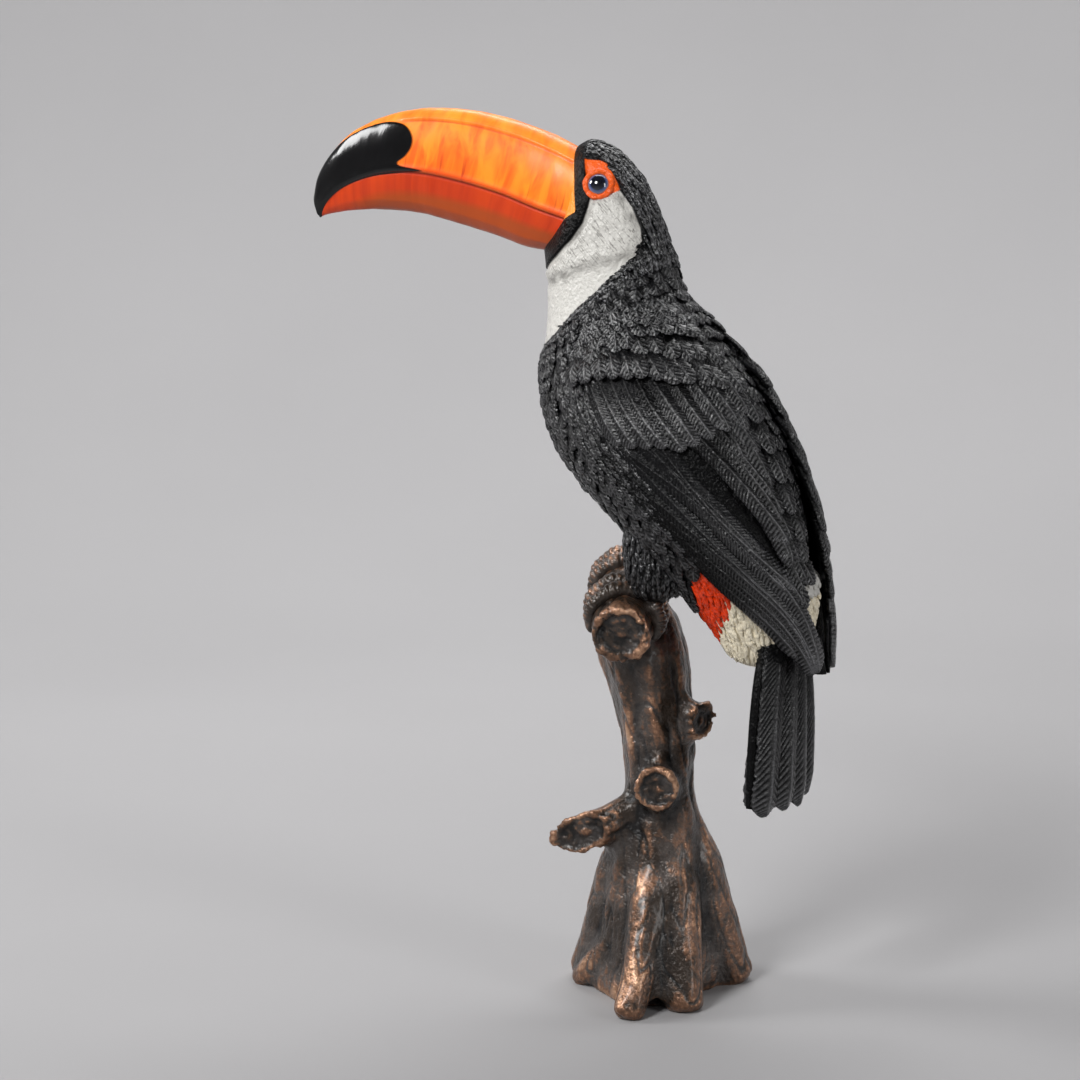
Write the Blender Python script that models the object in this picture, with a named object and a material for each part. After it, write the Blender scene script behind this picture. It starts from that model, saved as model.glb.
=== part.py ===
"""Toucan statue: a cast and painted toucan that grips a cast tree stump, with domed eyes set in.

The bird looks along -Y, its left side is +X and +Z is up. The origin is the middle of the
stump's flat underside. Lengths are in metres. The figure is drawn at its real size, in
millimetres, and BIRD_HEIGHT scales its pose and proportions about the top of the perch.
"""

import math

import bmesh
import bpy
from mathutils import Matrix, Vector

MM = 0.001

# Driving dimensions of the stump
STUMP_HEIGHT = 221.5 * MM  # floor to the axis of the perch, above the origin
TRUNK_RADIUS = 21 * MM  # at the waist
ROOT_REACH = 60 * MM  # from the middle to the tip of a root
ROOT_RADIUS = 11.5 * MM
CLEFT_DEPTH = 0.3  # share of the radius that the deep cleft between two roots takes away
CLEFT_BEARING = math.radians(92)
PERCH_LENGTH = 98 * MM
PERCH_RADIUS = 17.0 * MM
PERCH_YAW = math.radians(25)  # the near end points to the bird's left and a little back
PERCH_RISE = math.radians(10)  # the far end is the higher one
STUB_RADIUS = 11.5 * MM
STUB_DISH = 2.2 * MM  # how far the broken end of a stub is hollowed

# Driving dimensions of the bird
BIRD_HEIGHT = 374 * MM  # crown to tail tip
DRAWN_HEIGHT = 374  # the same height in the drawing's millimetres
DRAWN_PERCH_TOP = (-24, 240)  # where the drawing has the top of the perch, as Y and Z
FEATHER_LIFT = 1.9 * MM  # how far a feather's tip stands off the row below
WING_THICKNESS = 6.5 * MM
TAIL_THICKNESS = 5.5 * MM
TOE_RADIUS = 4.6 * MM
EYE_RADIUS = 6.8 * MM
EYE_SINK = 3.2 * MM  # how deep the middle of the eye lies under the face
EYELID_RADIUS = 1.9 * MM
BAND_RISE = 1.4 * MM  # how far the band at the root of the bill stands up
JOINT_GAP = 0.3 * MM  # between pieces that meet

# How finely the solids are faceted
BODY_FEATHERS = 10
WING_FEATHERS = 8
TAIL_FEATHERS = 6
FACETS_PER_FEATHER = 3
TRUNK_SIDES = 20
LIMB_SIDES = 10
TOE_SIDES = 5

# Sections of the body from the root of the bill to the vent: breast point Y and Z, spine
# point Y and Z, half width, and how far the sides bow back, in drawing millimetres.
BODY_SECTIONS = (
    (-74, 421, -55, 477, 17, 13),
    (-72, 411, -43, 481.5, 22, 10),
    (-71, 403, -28, 474, 25, 6),
    (-72, 396, -15, 458, 26, 3),
    (-71.5, 386, -6, 440, 27, 0),
    (-72, 374, 0.5, 420, 30, 0),
    (-72.5, 360, 7.5, 399, 36, 0),
    (-71.5, 342, 26, 378, 43, 0),
    (-66.5, 323, 48, 351, 48, 0),
    (-56, 305, 64, 324, 50, 0),
    (-40.5, 289, 75, 297, 49, 0),
    (-22, 273, 82, 269, 45, 0),
    (-5, 257, 82.5, 243, 38, 0),
    (12, 240, 83, 219, 29, 0),
    (29, 221, 81.5, 203, 21, 0),
    (46, 197, 76, 194, 12, 0),
)
HEAD_ENDS = 3.2  # the section where the smooth head gives way to rows of feathers
BODY_ROWS = (4.1, 5.0, 5.9, 6.8, 7.7, 8.6, 9.6, 10.6, 11.6, 12.6)
BODY_SCALLOP = 0.35

# Sections of the bill from its root to its tip: lower edge Y and Z, culmen Y and Z, half
# width, how far the sides bow back, and where the mouth line lies, as a share downwards.
BILL_SECTIONS = (
    (-72, 419, -52, 476, 16.5, 12, 0.60),
    (-90, 421.5, -70, 484, 16.5, 9, 0.60),
    (-110, 427.5, -95, 492, 15.5, 5, 0.60),
    (-134, 433.5, -121, 497.3, 14, 2, 0.60),
    (-157, 438.5, -147, 499, 12.5, 0, 0.60),
    (-179, 440.5, -171, 497.5, 11, 0, 0.61),
    (-197.5, 440.5, -192, 492, 9.2, 0, 0.64),
    (-211, 439.5, -208.5, 484, 7.6, 0, 0.69),
    (-220.5, 438, -221, 472.5, 5.8, 0, 0.76),
    (-226, 437, -229.5, 460.5, 4.2, 0, 0.84),
    (-229.5, 435.5, -233, 449, 2.6, 0, 0.90),
)
MOUTH_GROOVE = 1.1 * MM
LOWER_JAW_INSET = 0.9 * MM

# Sections of a folded wing from the shoulder to the tip: as the body's, then the angles
# from the spine, in degrees, between which the wing lies.
WING_SECTIONS = (
    (-63, 366, 15.5, 391, 37, 26, 100),
    (-67, 346, 35.5, 374, 46, 20, 112),
    (-62, 319, 56.5, 347, 52, 17, 113),
    (-45, 293, 73.5, 318, 53, 18, 107),
    (-14, 266, 86, 287, 50, 18, 102),
    (24, 242, 93, 256, 42, 15, 98),
    (56, 221, 98, 226, 29, 6, 94),
    (84, 197, 102, 194, 10, 10, 90),
)
WING_ROWS = ((0.5, 0.5), (1.1, 0.7), (1.8, 0.8), (2.9, 0.8), (4.4, 0.6), (5.7, 0.2), (7.0, 0.0))
WING_SCALLOP = 0.22

# The tail hangs straight down: height, middle Y and half width, in drawing millimetres.
TAIL_SECTIONS = (
    (222, 76, 24),
    (203, 77.5, 32),
    (176, 77.5, 36),
    (148, 77, 38),
    (127, 76.5, 38.5),
    (118.5, 76.5, 37.5),
)
TAIL_CROWN = 7.5  # how far the middle of the tail stands behind its edges
TAIL_TIP_DROP = 4.0  # how far a feather's rounded tip hangs below the last section

# Thighs, per side: where the leg meets the perch in front of or behind its axis
THIGH_HALF_WIDTH = 12.5
THIGH_HALF_DEPTH = 15.5


def drawn(x, y, z):
    """A place in the figure's drawing, in millimetres, as a place in the statue."""
    unit = BIRD_HEIGHT / DRAWN_HEIGHT
    datum_y, datum_z = DRAWN_PERCH_TOP
    return perch_top() + Vector((x, y - datum_y, z - datum_z)) * unit


def perch_axis(along):
    """A point on the perch's axis, at this distance from its middle towards its near end."""
    out = Vector(
        (
            math.cos(PERCH_YAW) * math.cos(PERCH_RISE),
            math.sin(PERCH_YAW) * math.cos(PERCH_RISE),
            -math.sin(PERCH_RISE),
        )
    )
    middle = Vector((0, DRAWN_PERCH_TOP[0] * MM, STUMP_HEIGHT))
    return middle + out * along


def perch_radius(along):
    """The perch is a little stouter in its middle than at its ends."""
    return PERCH_RADIUS * (1.08 - 0.12 * (2 * along / PERCH_LENGTH) ** 2)


def perch_top():
    """The top of the perch under the bird's middle plane, where the figure is placed."""
    return perch_axis(0) + Vector((0, 0, perch_radius(0) + JOINT_GAP))


def interpolate(rows, place):
    """Reads a table of numbers between its rows with a smooth curve through them."""
    last = len(rows) - 1
    place = min(max(place, 0), last)
    index = min(int(place), last - 1)
    t = place - index
    before, here = rows[max(index - 1, 0)], rows[index]
    after, beyond = rows[index + 1], rows[min(index + 2, last)]
    return [
        0.5 * (2 * b + (c - a) * t + (2 * a - 5 * b + 4 * c - d) * t**2 + (3 * (b - c) + d - a) * t**3)
        for a, b, c, d in zip(before, here, after, beyond)
    ]


def oval(section, angle, swell):
    """A point on an oval section, at an angle from the spine towards the left side."""
    front_y, front_z, back_y, back_z, half_width, bow = section[:6]
    front, back = drawn(0, front_y, front_z), drawn(0, back_y, back_z)
    unit = BIRD_HEIGHT / DRAWN_HEIGHT
    middle, reach = (front + back) / 2, (back - front) / 2
    rearward = Vector((0, reach.z, -reach.y)).normalized()
    side = Vector((half_width * unit, 0, 0))
    c, s = math.cos(angle), math.sin(angle)
    point = middle + reach * c + side * s + rearward * (bow * unit * s * s)
    normal = reach * (c / reach.length_squared) + side * (s / side.length_squared)
    return point + normal.normalized() * swell


def body_point(place, angle, swell=0.0):
    """A point on the body at this section number, raised by swell."""
    return oval(interpolate(BODY_SECTIONS, place), angle, swell)


def body_normal(place, angle):
    """The outward direction of the body's surface on the left side."""
    step = 0.01
    along = body_point(place + step, angle) - body_point(place - step, angle)
    around = body_point(place, angle + step) - body_point(place, angle - step)
    return around.cross(along).normalized()


def rounding(column):
    """How far a rounded feather tip reaches at a column: 0 between feathers, 1 in the middle."""
    across = (column % FACETS_PER_FEATHER) / FACETS_PER_FEATHER
    return 1 - (2 * across - 1) ** 2


def feather_rings(start, rows, columns, scallop, skew=None):
    """Rings of a surface covered in rows of overlapping feathers.

    Each ring is a list of (place along the surface, share of the feather's lift). A row
    starts low under the tips of the row before, rises, and ends in its own rounded tips.
    Alternate rows are shifted by half a feather. skew carries a row back at one edge.
    """

    def tip(row, column):
        if row < 0:
            return start
        slant = skew[row] * (1 - column / (columns - 1)) if skew else 0
        shift = FACETS_PER_FEATHER / 2 if row % 2 else 0
        return rows[row] + slant + scallop * (rounding(column + shift) - 0.5)

    rings = []
    for row in range(len(rows)):
        shift = FACETS_PER_FEATHER / 2 if row % 2 else 0
        for share, rise in ((0.03, 0.0), (1.0, 1.0)):
            ring = []
            for column in range(columns):
                low, high = tip(row - 1, column), tip(row, column)
                camber = 0.45 + 0.55 * rounding(column + shift)
                ring.append((low + (high - low) * share, rise * camber))
            rings.append(ring)
    return rings


def add_object(name, bm, collection):
    """Makes a mesh object of a bmesh, with its faces pointing out."""
    bmesh.ops.remove_doubles(bm, verts=bm.verts, dist=1e-6)
    bmesh.ops.recalc_face_normals(bm, faces=bm.faces)
    mesh = bpy.data.meshes.new(name)
    bm.to_mesh(mesh)
    bm.free()
    made = bpy.data.objects.new(name, mesh)
    collection.objects.link(made)
    return made


def bridge(bm, first, second, closed=True):
    """Joins two rows of vertices with four-sided faces."""
    count = len(first)
    for i in range(count if closed else count - 1):
        j = (i + 1) % count
        bm.faces.new((first[i], first[j], second[j], second[i]))


def loft(name, rings, collection):
    """A closed solid through rings of points. A ring may be a single point, as a pole."""
    bm = bmesh.new()
    rows = [[bm.verts.new(point) for point in ring] for ring in rings]
    for first, second in zip(rows, rows[1:]):
        if len(first) == 1 or len(second) == 1:
            pole, ring = (first, second) if len(first) == 1 else (second, first)
            for i, vert in enumerate(ring):
                bm.faces.new((pole[0], vert, ring[(i + 1) % len(ring)]))
        else:
            bridge(bm, first, second)
    for end in (rows[0], rows[-1]):
        if len(end) > 1:
            bm.faces.new(end)
    return add_object(name, bm, collection)


def zip_rows(bm, first, second):
    """Joins two rows of vertices of different lengths with triangles, by the short way."""
    i, j = 0, 0
    while i < len(first) - 1 or j < len(second) - 1:
        ahead = (first[i + 1].co - second[j].co).length if i < len(first) - 1 else math.inf
        across = (first[i].co - second[j + 1].co).length if j < len(second) - 1 else math.inf
        if ahead < across:
            bm.faces.new((first[i], first[i + 1], second[j]))
            i += 1
        else:
            bm.faces.new((first[i], second[j + 1], second[j]))
            j += 1


def slab(name, outer, inner, collection):
    """A closed solid between a fine grid of points and a coarser one."""
    bm = bmesh.new()
    tops = [[bm.verts.new(point) for point in row] for row in outer]
    floors = [[bm.verts.new(point) for point in row] for row in inner]
    for grid in (tops, floors):
        for first, second in zip(grid, grid[1:]):
            bridge(bm, first, second, closed=False)
    for edge in (0, -1):
        zip_rows(bm, tops[edge], floors[edge])
        zip_rows(bm, [row[edge] for row in tops], [row[edge] for row in floors])
    return add_object(name, bm, collection)


def sweep(name, path, radii, sides, collection, grow=0.0, dish=0.0, ridge=0.0, facing=None):
    """A tapered limb along a path, with a hollowed end where dish says how deep.

    ridge is the share of the radius by which bark swells between its furrows, and facing
    is the way that a slanting end looks.
    """
    points = [Vector(p) for p in path]
    rings = []
    side = None
    for i, point in enumerate(points):
        heading = (points[min(i + 1, len(points) - 1)] - points[max(i - 1, 0)]).normalized()
        side = heading.orthogonal() if side is None else side - heading * side.dot(heading)
        side.normalize()
        up = heading.cross(side)
        ring = []
        for k in range(sides):
            angle = 2 * math.pi * k / sides
            radius = radii[i] * (1 + ridge * math.cos(3 * angle + 1.7 * i)) + grow
            ring.append(point + (side * math.cos(angle) + up * math.sin(angle)) * radius)
        rings.append(ring)
    end = points[-1]
    if facing:
        slope = heading.dot(facing)
        rings[-1] = [p + heading * ((end - p).dot(facing) / slope) for p in rings[-1]]
    if dish:
        for share, depth in ((0.80, 0.25), (0.62, -1.0)):
            rim = rings[len(points) - 1]
            rings.append([end + (p - end) * share + heading * (dish * depth + grow) for p in rim])
        rings.append([end + heading * (grow - dish * 0.6)])
    else:
        rings.append([end + heading * (radii[-1] * 0.55 + grow)])
    start = points[0] - (points[1] - points[0]).normalized() * grow
    return loft(name, [[start], *rings], collection)


def combine(target, others, operation, cutters):
    """Joins or cuts the target with others and applies the result."""
    for other in others:
        for owner in other.users_collection:
            owner.objects.unlink(other)
        cutters.objects.link(other)
    modifier = target.modifiers.new(operation.title(), "BOOLEAN")
    modifier.operation = operation
    modifier.solver = "EXACT"
    modifier.use_self = True
    modifier.operand_type = "COLLECTION"
    group = bpy.data.collections.new(target.name + "_" + operation.lower())
    for other in others:
        group.objects.link(other)
    modifier.collection = group
    bpy.context.view_layer.update()
    graph = bpy.context.evaluated_depsgraph_get()
    mesh = bpy.data.meshes.new_from_object(target.evaluated_get(graph))
    target.modifiers.clear()
    target.data = mesh
    bpy.data.collections.remove(group)
    for other in others:
        bpy.data.objects.remove(other)


def body_loft(collection):
    """The head, neck, breast, back and belly, down to the pale feathers under the tail."""
    columns = BODY_FEATHERS * FACETS_PER_FEATHER
    angles = [2 * math.pi * k / columns for k in range(columns)]

    def ring(place, swell):
        return [body_point(place, angle, swell) for angle in angles]

    rings = [[body_point(0, 0).lerp(body_point(0, math.pi), 0.5)]]
    for place, swell in ((0, 0.3 * MM), (0.02, BAND_RISE), (0.38, BAND_RISE), (0.46, 0)):
        rings.append(ring(place, swell))
    for place in (0.9, 1.5, 2.1, 2.7, HEAD_ENDS - 0.05):
        rings.append(ring(place, 0))
    for row in feather_rings(HEAD_ENDS, BODY_ROWS, columns, BODY_SCALLOP):
        rings.append([body_point(p, a, r * FEATHER_LIFT) for (p, r), a in zip(row, angles)])
    last = len(BODY_SECTIONS) - 1
    for place in (13.1, 13.8, 14.5, last):
        rings.append(ring(place, 0))
    rings.append([body_point(last, 0).lerp(body_point(last, math.pi), 0.5) - Vector((0, 0, 2 * MM))])
    return loft("toucan", rings, collection)


def bill_loft(collection):
    """Both jaws as one closed form, with the mouth line cut along each side."""
    upper, lower = 5, 4
    rings = []
    for place in range(len(BILL_SECTIONS)):
        section = BILL_SECTIONS[place]
        mouth = math.acos(1 - 2 * section[6])
        gap = 0.07
        half = [(mouth - gap) * k / upper for k in range(upper + 1)]
        half.append(mouth)
        half += [mouth + gap + (math.pi - mouth - gap) * k / lower for k in range(lower + 1)]
        taper = section[4] / BILL_SECTIONS[0][4]
        swells = [0.0] * (upper + 1) + [-MOUTH_GROOVE * taper - LOWER_JAW_INSET * taper]
        swells += [-LOWER_JAW_INSET * taper] * lower + [0.0]
        left = [oval(section, a, s) for a, s in zip(half, swells)]
        right = [oval(section, -a, s) for a, s in zip(half, swells)]
        rings.append(left + right[-2:0:-1])
    root = sum(rings[0], Vector()) / len(rings[0])
    rings.insert(0, [root.lerp(point, 0.8) + Vector((0, 10 * MM, -3 * MM)) for point in rings[0]])
    rings.insert(0, [root + Vector((0, 14 * MM, -4 * MM))])
    tip = sum(rings[-1], Vector()) / len(rings[-1])
    rings.append([tip + Vector((0, -0.6 * MM, -1.5 * MM))])
    return loft("bill", rings, collection)


def wing_place(side, place, share, swell):
    """A point on a wing at this section number, this far across from its inner edge."""
    section = interpolate(WING_SECTIONS, min(place, len(WING_SECTIONS) - 1))
    angle = side * math.radians(section[5] + (section[6] - section[5]) * share)
    return oval((*section[:5], 0), angle, swell)


def wing_slab(side, collection):
    """A folded wing: rows of coverts, then the long flight feathers, down to the tip."""
    columns = WING_FEATHERS * FACETS_PER_FEATHER + 1
    last = len(WING_SECTIONS) - 1
    edges = [edge for edge, _ in WING_ROWS]
    skew = [carry for _, carry in WING_ROWS]
    outer = []
    for ring in feather_rings(0, edges, columns, WING_SCALLOP, skew):
        row = []
        for column, (place, rise) in enumerate(ring):
            lift = rise * FEATHER_LIFT if 0 < column < columns - 1 else 0
            row.append(wing_place(side, place, column / (columns - 1), lift))
        outer.append(row)
    inner = []
    for row in range(last + 1):
        thick = WING_THICKNESS * (1 - 0.55 * row / last)
        place = max(row, 0.03 * edges[0])
        inner.append([wing_place(side, place, k / 6, -thick) for k in range(7)])
    return slab("wing", outer, inner, collection)


def tail_place(row, across, drop=0.0):
    """A point on the tail's curved roof, across from -1 at the right to 1 at the left."""
    height, middle, half_width = TAIL_SECTIONS[row]
    crown = TAIL_CROWN * (0.5 - across * across)
    return drawn(across * half_width, middle + crown, height - drop)


def tail_slab(collection):
    """Long tail feathers side by side on a curved roof, each with a rounded tip."""
    columns = TAIL_FEATHERS * FACETS_PER_FEATHER + 1
    last = len(TAIL_SECTIONS) - 1
    outer, inner = [], []
    for row in range(last + 1):
        top = []
        for column in range(columns):
            swell = rounding(column)
            drop = TAIL_TIP_DROP * swell if row == last else 0
            lift = Vector((0, FEATHER_LIFT * (swell - 0.4), 0))
            top.append(tail_place(row, 2 * column / (columns - 1) - 1, drop) + lift)
        outer.append(top)
        thick = Vector((0, TAIL_THICKNESS, 0))
        inner.append([tail_place(row, k / 3 - 1) - thick for k in range(7)])
    return slab("tail", outer, inner, collection)


def foot_place(side):
    """Where a foot stands along the perch, from its middle towards the near end."""
    return side * 24 * MM


def thigh_loft(side, collection):
    """A feathered thigh from inside the belly down to the foot."""
    along = foot_place(side)
    foot = perch_axis(along) + Vector((0, 0, perch_radius(along)))
    hip = body_point(11.4, side * math.radians(100)) * 0.5 + body_point(11.4, math.pi) * 0.5
    unit = BIRD_HEIGHT / DRAWN_HEIGHT
    set_back = Vector((0, 20 * unit, 4 * unit))
    rings = []
    for share, size in ((0, 1.0), (0.35, 1.12), (0.7, 1.05), (0.93, 0.86), (1.0, 0.6)):
        middle = (hip + Vector((0, 0, 12 * MM))).lerp(foot + set_back - Vector((0, 0, 8 * MM)), share)
        ring = []
        for k in range(LIMB_SIDES):
            angle = 2 * math.pi * k / LIMB_SIDES
            x = THIGH_HALF_WIDTH * math.cos(angle) * size * unit
            y = THIGH_HALF_DEPTH * math.sin(angle) * size * unit
            ring.append(middle + Vector((x, y, 0)))
        rings.append(ring)
    return loft("thigh", rings, collection)


def eye_place():
    """The middle of the left eye and the direction in which it looks."""
    where = (2.1, math.radians(50))
    normal = body_normal(*where)
    return body_point(*where) - normal * EYE_SINK, normal


def ball(name, centre, radius, collection):
    """A small sphere with its poles up and down."""
    bm = bmesh.new()
    bmesh.ops.create_uvsphere(bm, u_segments=14, v_segments=8, radius=radius)
    bmesh.ops.translate(bm, verts=bm.verts, vec=centre)
    return add_object(name, bm, collection)


def eyelid(side, collection):
    """The bare ring of skin that stands round an eye."""
    centre, normal = eye_place()
    rim = centre + normal * (EYE_SINK + 0.2 * MM)
    bpy.ops.mesh.primitive_torus_add(
        major_segments=16,
        minor_segments=6,
        major_radius=EYE_RADIUS + EYELID_RADIUS * 0.35,
        minor_radius=EYELID_RADIUS,
    )
    ring = bpy.context.object
    turn = Vector((normal.x * side, normal.y, normal.z)).to_track_quat("Z", "Y").to_matrix().to_4x4()
    ring.data.transform(Matrix.Translation((rim.x * side, rim.y, rim.z)) @ turn)
    for owner in ring.users_collection:
        owner.objects.unlink(ring)
    collection.objects.link(ring)
    return ring


def trunk_loft(collection):
    """The stem of the stump: height share, lean along Y, and radius share of the waist."""
    stations = (
        (0.0, 0, 1.85),
        (0.08, 0, 1.72),
        (0.20, 0, 1.52),
        (0.32, 0, 1.34),
        (0.44, -0.5, 1.12),
        (0.54, -1, 0.92),
        (0.62, -2, 0.95),
        (0.70, -3.5, 1.01),
        (0.78, -7, 1.06),
        (0.87, -11.5, 1.18),
        (0.96, -17, 1.14),
        (1.03, -21, 0.85),
    )
    rings = []
    for share, lean, stout in stations:
        ring = []
        for k in range(TRUNK_SIDES):
            angle = 2 * math.pi * k / TRUNK_SIDES
            furrow = 0.045 * math.cos(3 * angle + 6 * share) + 0.035 * math.cos(7 * angle - 5 * share)
            furrow -= CLEFT_DEPTH * max(0, 1 - share / 0.5) * max(0, math.cos(angle - CLEFT_BEARING)) ** 8
            radius = TRUNK_RADIUS * stout * (1 + furrow)
            centre = Vector((0, lean * MM, share * STUMP_HEIGHT))
            ring.append(centre + Vector((math.cos(angle), math.sin(angle), 0)) * radius)
        rings.append(ring)
    top = Vector((0, stations[-1][1] * MM, 1.05 * STUMP_HEIGHT))
    return loft("stump", [*rings, [top]], collection)


# Roots: bearing in degrees from +X towards +Y at the stem and at the tip, reach and
# stoutness as shares, and the height share at which each leaves the stem.
ROOTS = (
    (20, 10, 1.08, 0.85, 0.42),
    (50, 45, 0.78, 1.10, 0.45),
    (126, 136, 0.75, 1.30, 0.50),
    (208, 205, 0.80, 1.05, 0.42),
    (285, 275, 0.74, 1.30, 0.50),
    (365, 288, 0.80, 0.62, 0.30),
)

# Broken side branches: start height share, end X, Y and Z in millimetres, stoutness, and
# the direction that the broken face looks in.
STUBS = (
    (0.50, 34, -33, 94, 0.90, (0.98, 0.20, 0.0)),
    (0.53, 28.5, 11.5, 124, 1.05, (0.90, 0.38, 0.05)),
    (0.70, -3, 25, 159, 0.90, (0.10, 0.99, 0.0)),
    (0.60, -32, -8, 140, 0.80, (-0.97, -0.20, 0.1)),
)


def root_limb(root, collection):
    """A root that runs down the stem and out over the floor."""
    bearing, turned, reach, stout, leaves = root
    path, radii = [], []
    for share, drop in ((0.10, 1.0), (0.34, 0.70), (0.60, 0.42), (0.80, 0.19), (0.95, 0.04)):
        angle = math.radians(bearing + (turned - bearing) * share)
        out = Vector((math.cos(angle), math.sin(angle), 0)) * (reach * ROOT_REACH * share)
        path.append(out + Vector((0, 0, leaves * STUMP_HEIGHT * drop)))
        radii.append(ROOT_RADIUS * stout * (1.35 - 0.45 * share if path[1:] else 0.6))
    return sweep("root", path, radii, 9, collection, ridge=0.06)


def stub_limb(stub, collection):
    """A short broken branch with a hollowed end."""
    share, x, y, z, stout, facing = stub
    start = Vector((0, 0, share * STUMP_HEIGHT))
    end = Vector((x, y, z)) * MM
    path = [start, start.lerp(end, 0.52), end]
    radii = [STUB_RADIUS * stout * swell for swell in (1.25, 0.98, 1.05)]
    return sweep("stub", path, radii, LIMB_SIDES, collection, 0, STUB_DISH, 0.05, Vector(facing))


def perch_limb(collection, grow=0.0):
    """The limb across the top of the stump, sawn off at its near end."""
    places = [PERCH_LENGTH * share for share in (-0.46, -0.30, -0.12, 0.06, 0.24, 0.40, 0.5)]
    path = [perch_axis(place) for place in places]
    radii = [perch_radius(place) for place in places]
    return sweep("perch", path, radii, LIMB_SIDES + 4, collection, grow, dish=STUB_DISH, ridge=0.03)


def toes(side, collection, grow=0.0):
    """Two toes over the front of the perch and two down its back, each with a claw."""
    made = []
    out = (perch_axis(1) - perch_axis(0)).normalized()
    back = Vector((0, 0, 1)).cross(out) * -1
    back = back if back.y > 0 else -back
    up = out.cross(back)
    up = up if up.z > 0 else -up
    for spread, ends in ((-1, 205), (1, 198), (-1, -38), (1, -30)):
        path, radii = [], []
        for step in range(6):
            share = step / 5
            angle = math.radians(62 + (ends - 62) * share)
            along = foot_place(side) + spread * (2.5 + 5.5 * math.sin(math.pi * min(share, 0.6))) * MM
            reach = perch_radius(along) + TOE_RADIUS * (0.45 - 0.35 * share + (0.35 if ends < 0 else 0))
            place = perch_axis(along) + (back * math.cos(angle) + up * math.sin(angle)) * reach
            path.append(place)
            radii.append(TOE_RADIUS * (1.15 - 0.3 * share) if step < 5 else TOE_RADIUS * 0.35)
        made.append(sweep("toe", path, radii, TOE_SIDES, collection, grow))
    return made


def stump_pieces(collection):
    """Everything that the stump is cast from. The stem comes first."""
    made = [trunk_loft(collection)]
    made += [root_limb(root, collection) for root in ROOTS]
    made += [stub_limb(stub, collection) for stub in STUBS]
    return made + perch_pieces(collection)


def perch_pieces(collection, grow=0.0):
    """The perch and the toes that grip it."""
    made = [perch_limb(collection, grow)]
    for side in (1, -1):
        made += toes(side, collection, grow)
    return made


def keep_largest(obj):
    """Removes crumbs that a cut leaves beside the piece."""
    bm = bmesh.new()
    bm.from_mesh(obj.data)
    left, bodies = set(bm.verts), []
    while left:
        body, edge = set(), [left.pop()]
        while edge:
            vert = edge.pop()
            body.add(vert)
            near = {e.other_vert(vert) for e in vert.link_edges} & left
            left -= near
            edge.extend(near)
        bodies.append(body)
    bodies.sort(key=len)
    for body in bodies[:-1]:
        bmesh.ops.delete(bm, geom=list(body), context="VERTS")
    bm.to_mesh(obj.data)
    bm.free()


def block_below_floor(collection):
    """A block that takes away whatever would reach below the floor."""
    bm = bmesh.new()
    bmesh.ops.create_cube(bm, size=4 * ROOT_REACH)
    bmesh.ops.translate(bm, verts=bm.verts, vec=(0, 0, -2 * ROOT_REACH))
    return add_object("block", bm, collection)


def paint(obj, name, colour, roughness, metallic=0.0):
    """Gives the object one plain finish."""
    material = bpy.data.materials.new(name)
    material.use_nodes = True
    shader = material.node_tree.nodes["Principled BSDF"]
    shader.inputs["Base Color"].default_value = (*colour, 1)
    shader.inputs["Roughness"].default_value = roughness
    shader.inputs["Metallic"].default_value = metallic
    obj.data.materials.clear()
    obj.data.materials.append(material)


def main():
    """Builds the statue's four pieces."""
    for old in list(bpy.data.objects):
        bpy.data.objects.remove(old, do_unlink=True)
    statue = bpy.data.collections.new("toucan_statue")
    cutters = bpy.data.collections.new("cutters")
    cutters.hide_render = True
    for group in (statue, cutters):
        bpy.context.scene.collection.children.link(group)

    stump, *limbs = stump_pieces(statue)
    combine(stump, limbs, "UNION", cutters)
    combine(stump, [block_below_floor(statue)], "DIFFERENCE", cutters)
    keep_largest(stump)

    toucan = body_loft(statue)
    centre, _ = eye_place()
    centres = {side: Vector((centre.x * side, centre.y, centre.z)) for side in (1, -1)}
    joined = [bill_loft(statue), tail_slab(statue)]
    for side in (1, -1):
        joined += [wing_slab(side, statue), thigh_loft(side, statue), eyelid(side, statue)]
    combine(toucan, joined, "UNION", cutters)
    sockets = [ball("socket", centres[side], EYE_RADIUS + JOINT_GAP, statue) for side in (1, -1)]
    combine(toucan, sockets, "DIFFERENCE", cutters)
    perch, *gripping = perch_pieces(statue, JOINT_GAP)
    combine(perch, gripping, "UNION", cutters)
    combine(toucan, [perch], "DIFFERENCE", cutters)
    keep_largest(toucan)

    eyes = [ball(name, centres[side], EYE_RADIUS, statue) for name, side in (("eye_left", 1), ("eye_right", -1))]
    paint(toucan, "black_painted_resin", (0.02, 0.02, 0.022), 0.5)
    paint(stump, "bronzed_resin", (0.10, 0.055, 0.035), 0.42, 0.4)
    for eye in eyes:
        paint(eye, "glossy_eye", (0.02, 0.03, 0.08), 0.08)
        eye.data.shade_smooth()


main()
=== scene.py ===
"""Looks of the toucan statue: a cast and painted toucan that grips a bronzed tree stump.

The bird looks along -Y, its left side is +X and +Z is up. Shapes are drawn in millimetres
and become metres when a mesh is made. Each part of the bird is a chart: a curved surface
that takes two numbers, one along it and one across, so that feathers can be laid on it.
"""

from __future__ import annotations

import enum
import itertools
import logging
import math
from collections.abc import Callable, Sequence
from dataclasses import dataclass, field, replace

import bpy
import numpy as np
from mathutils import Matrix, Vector
from mathutils.kdtree import KDTree

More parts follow.
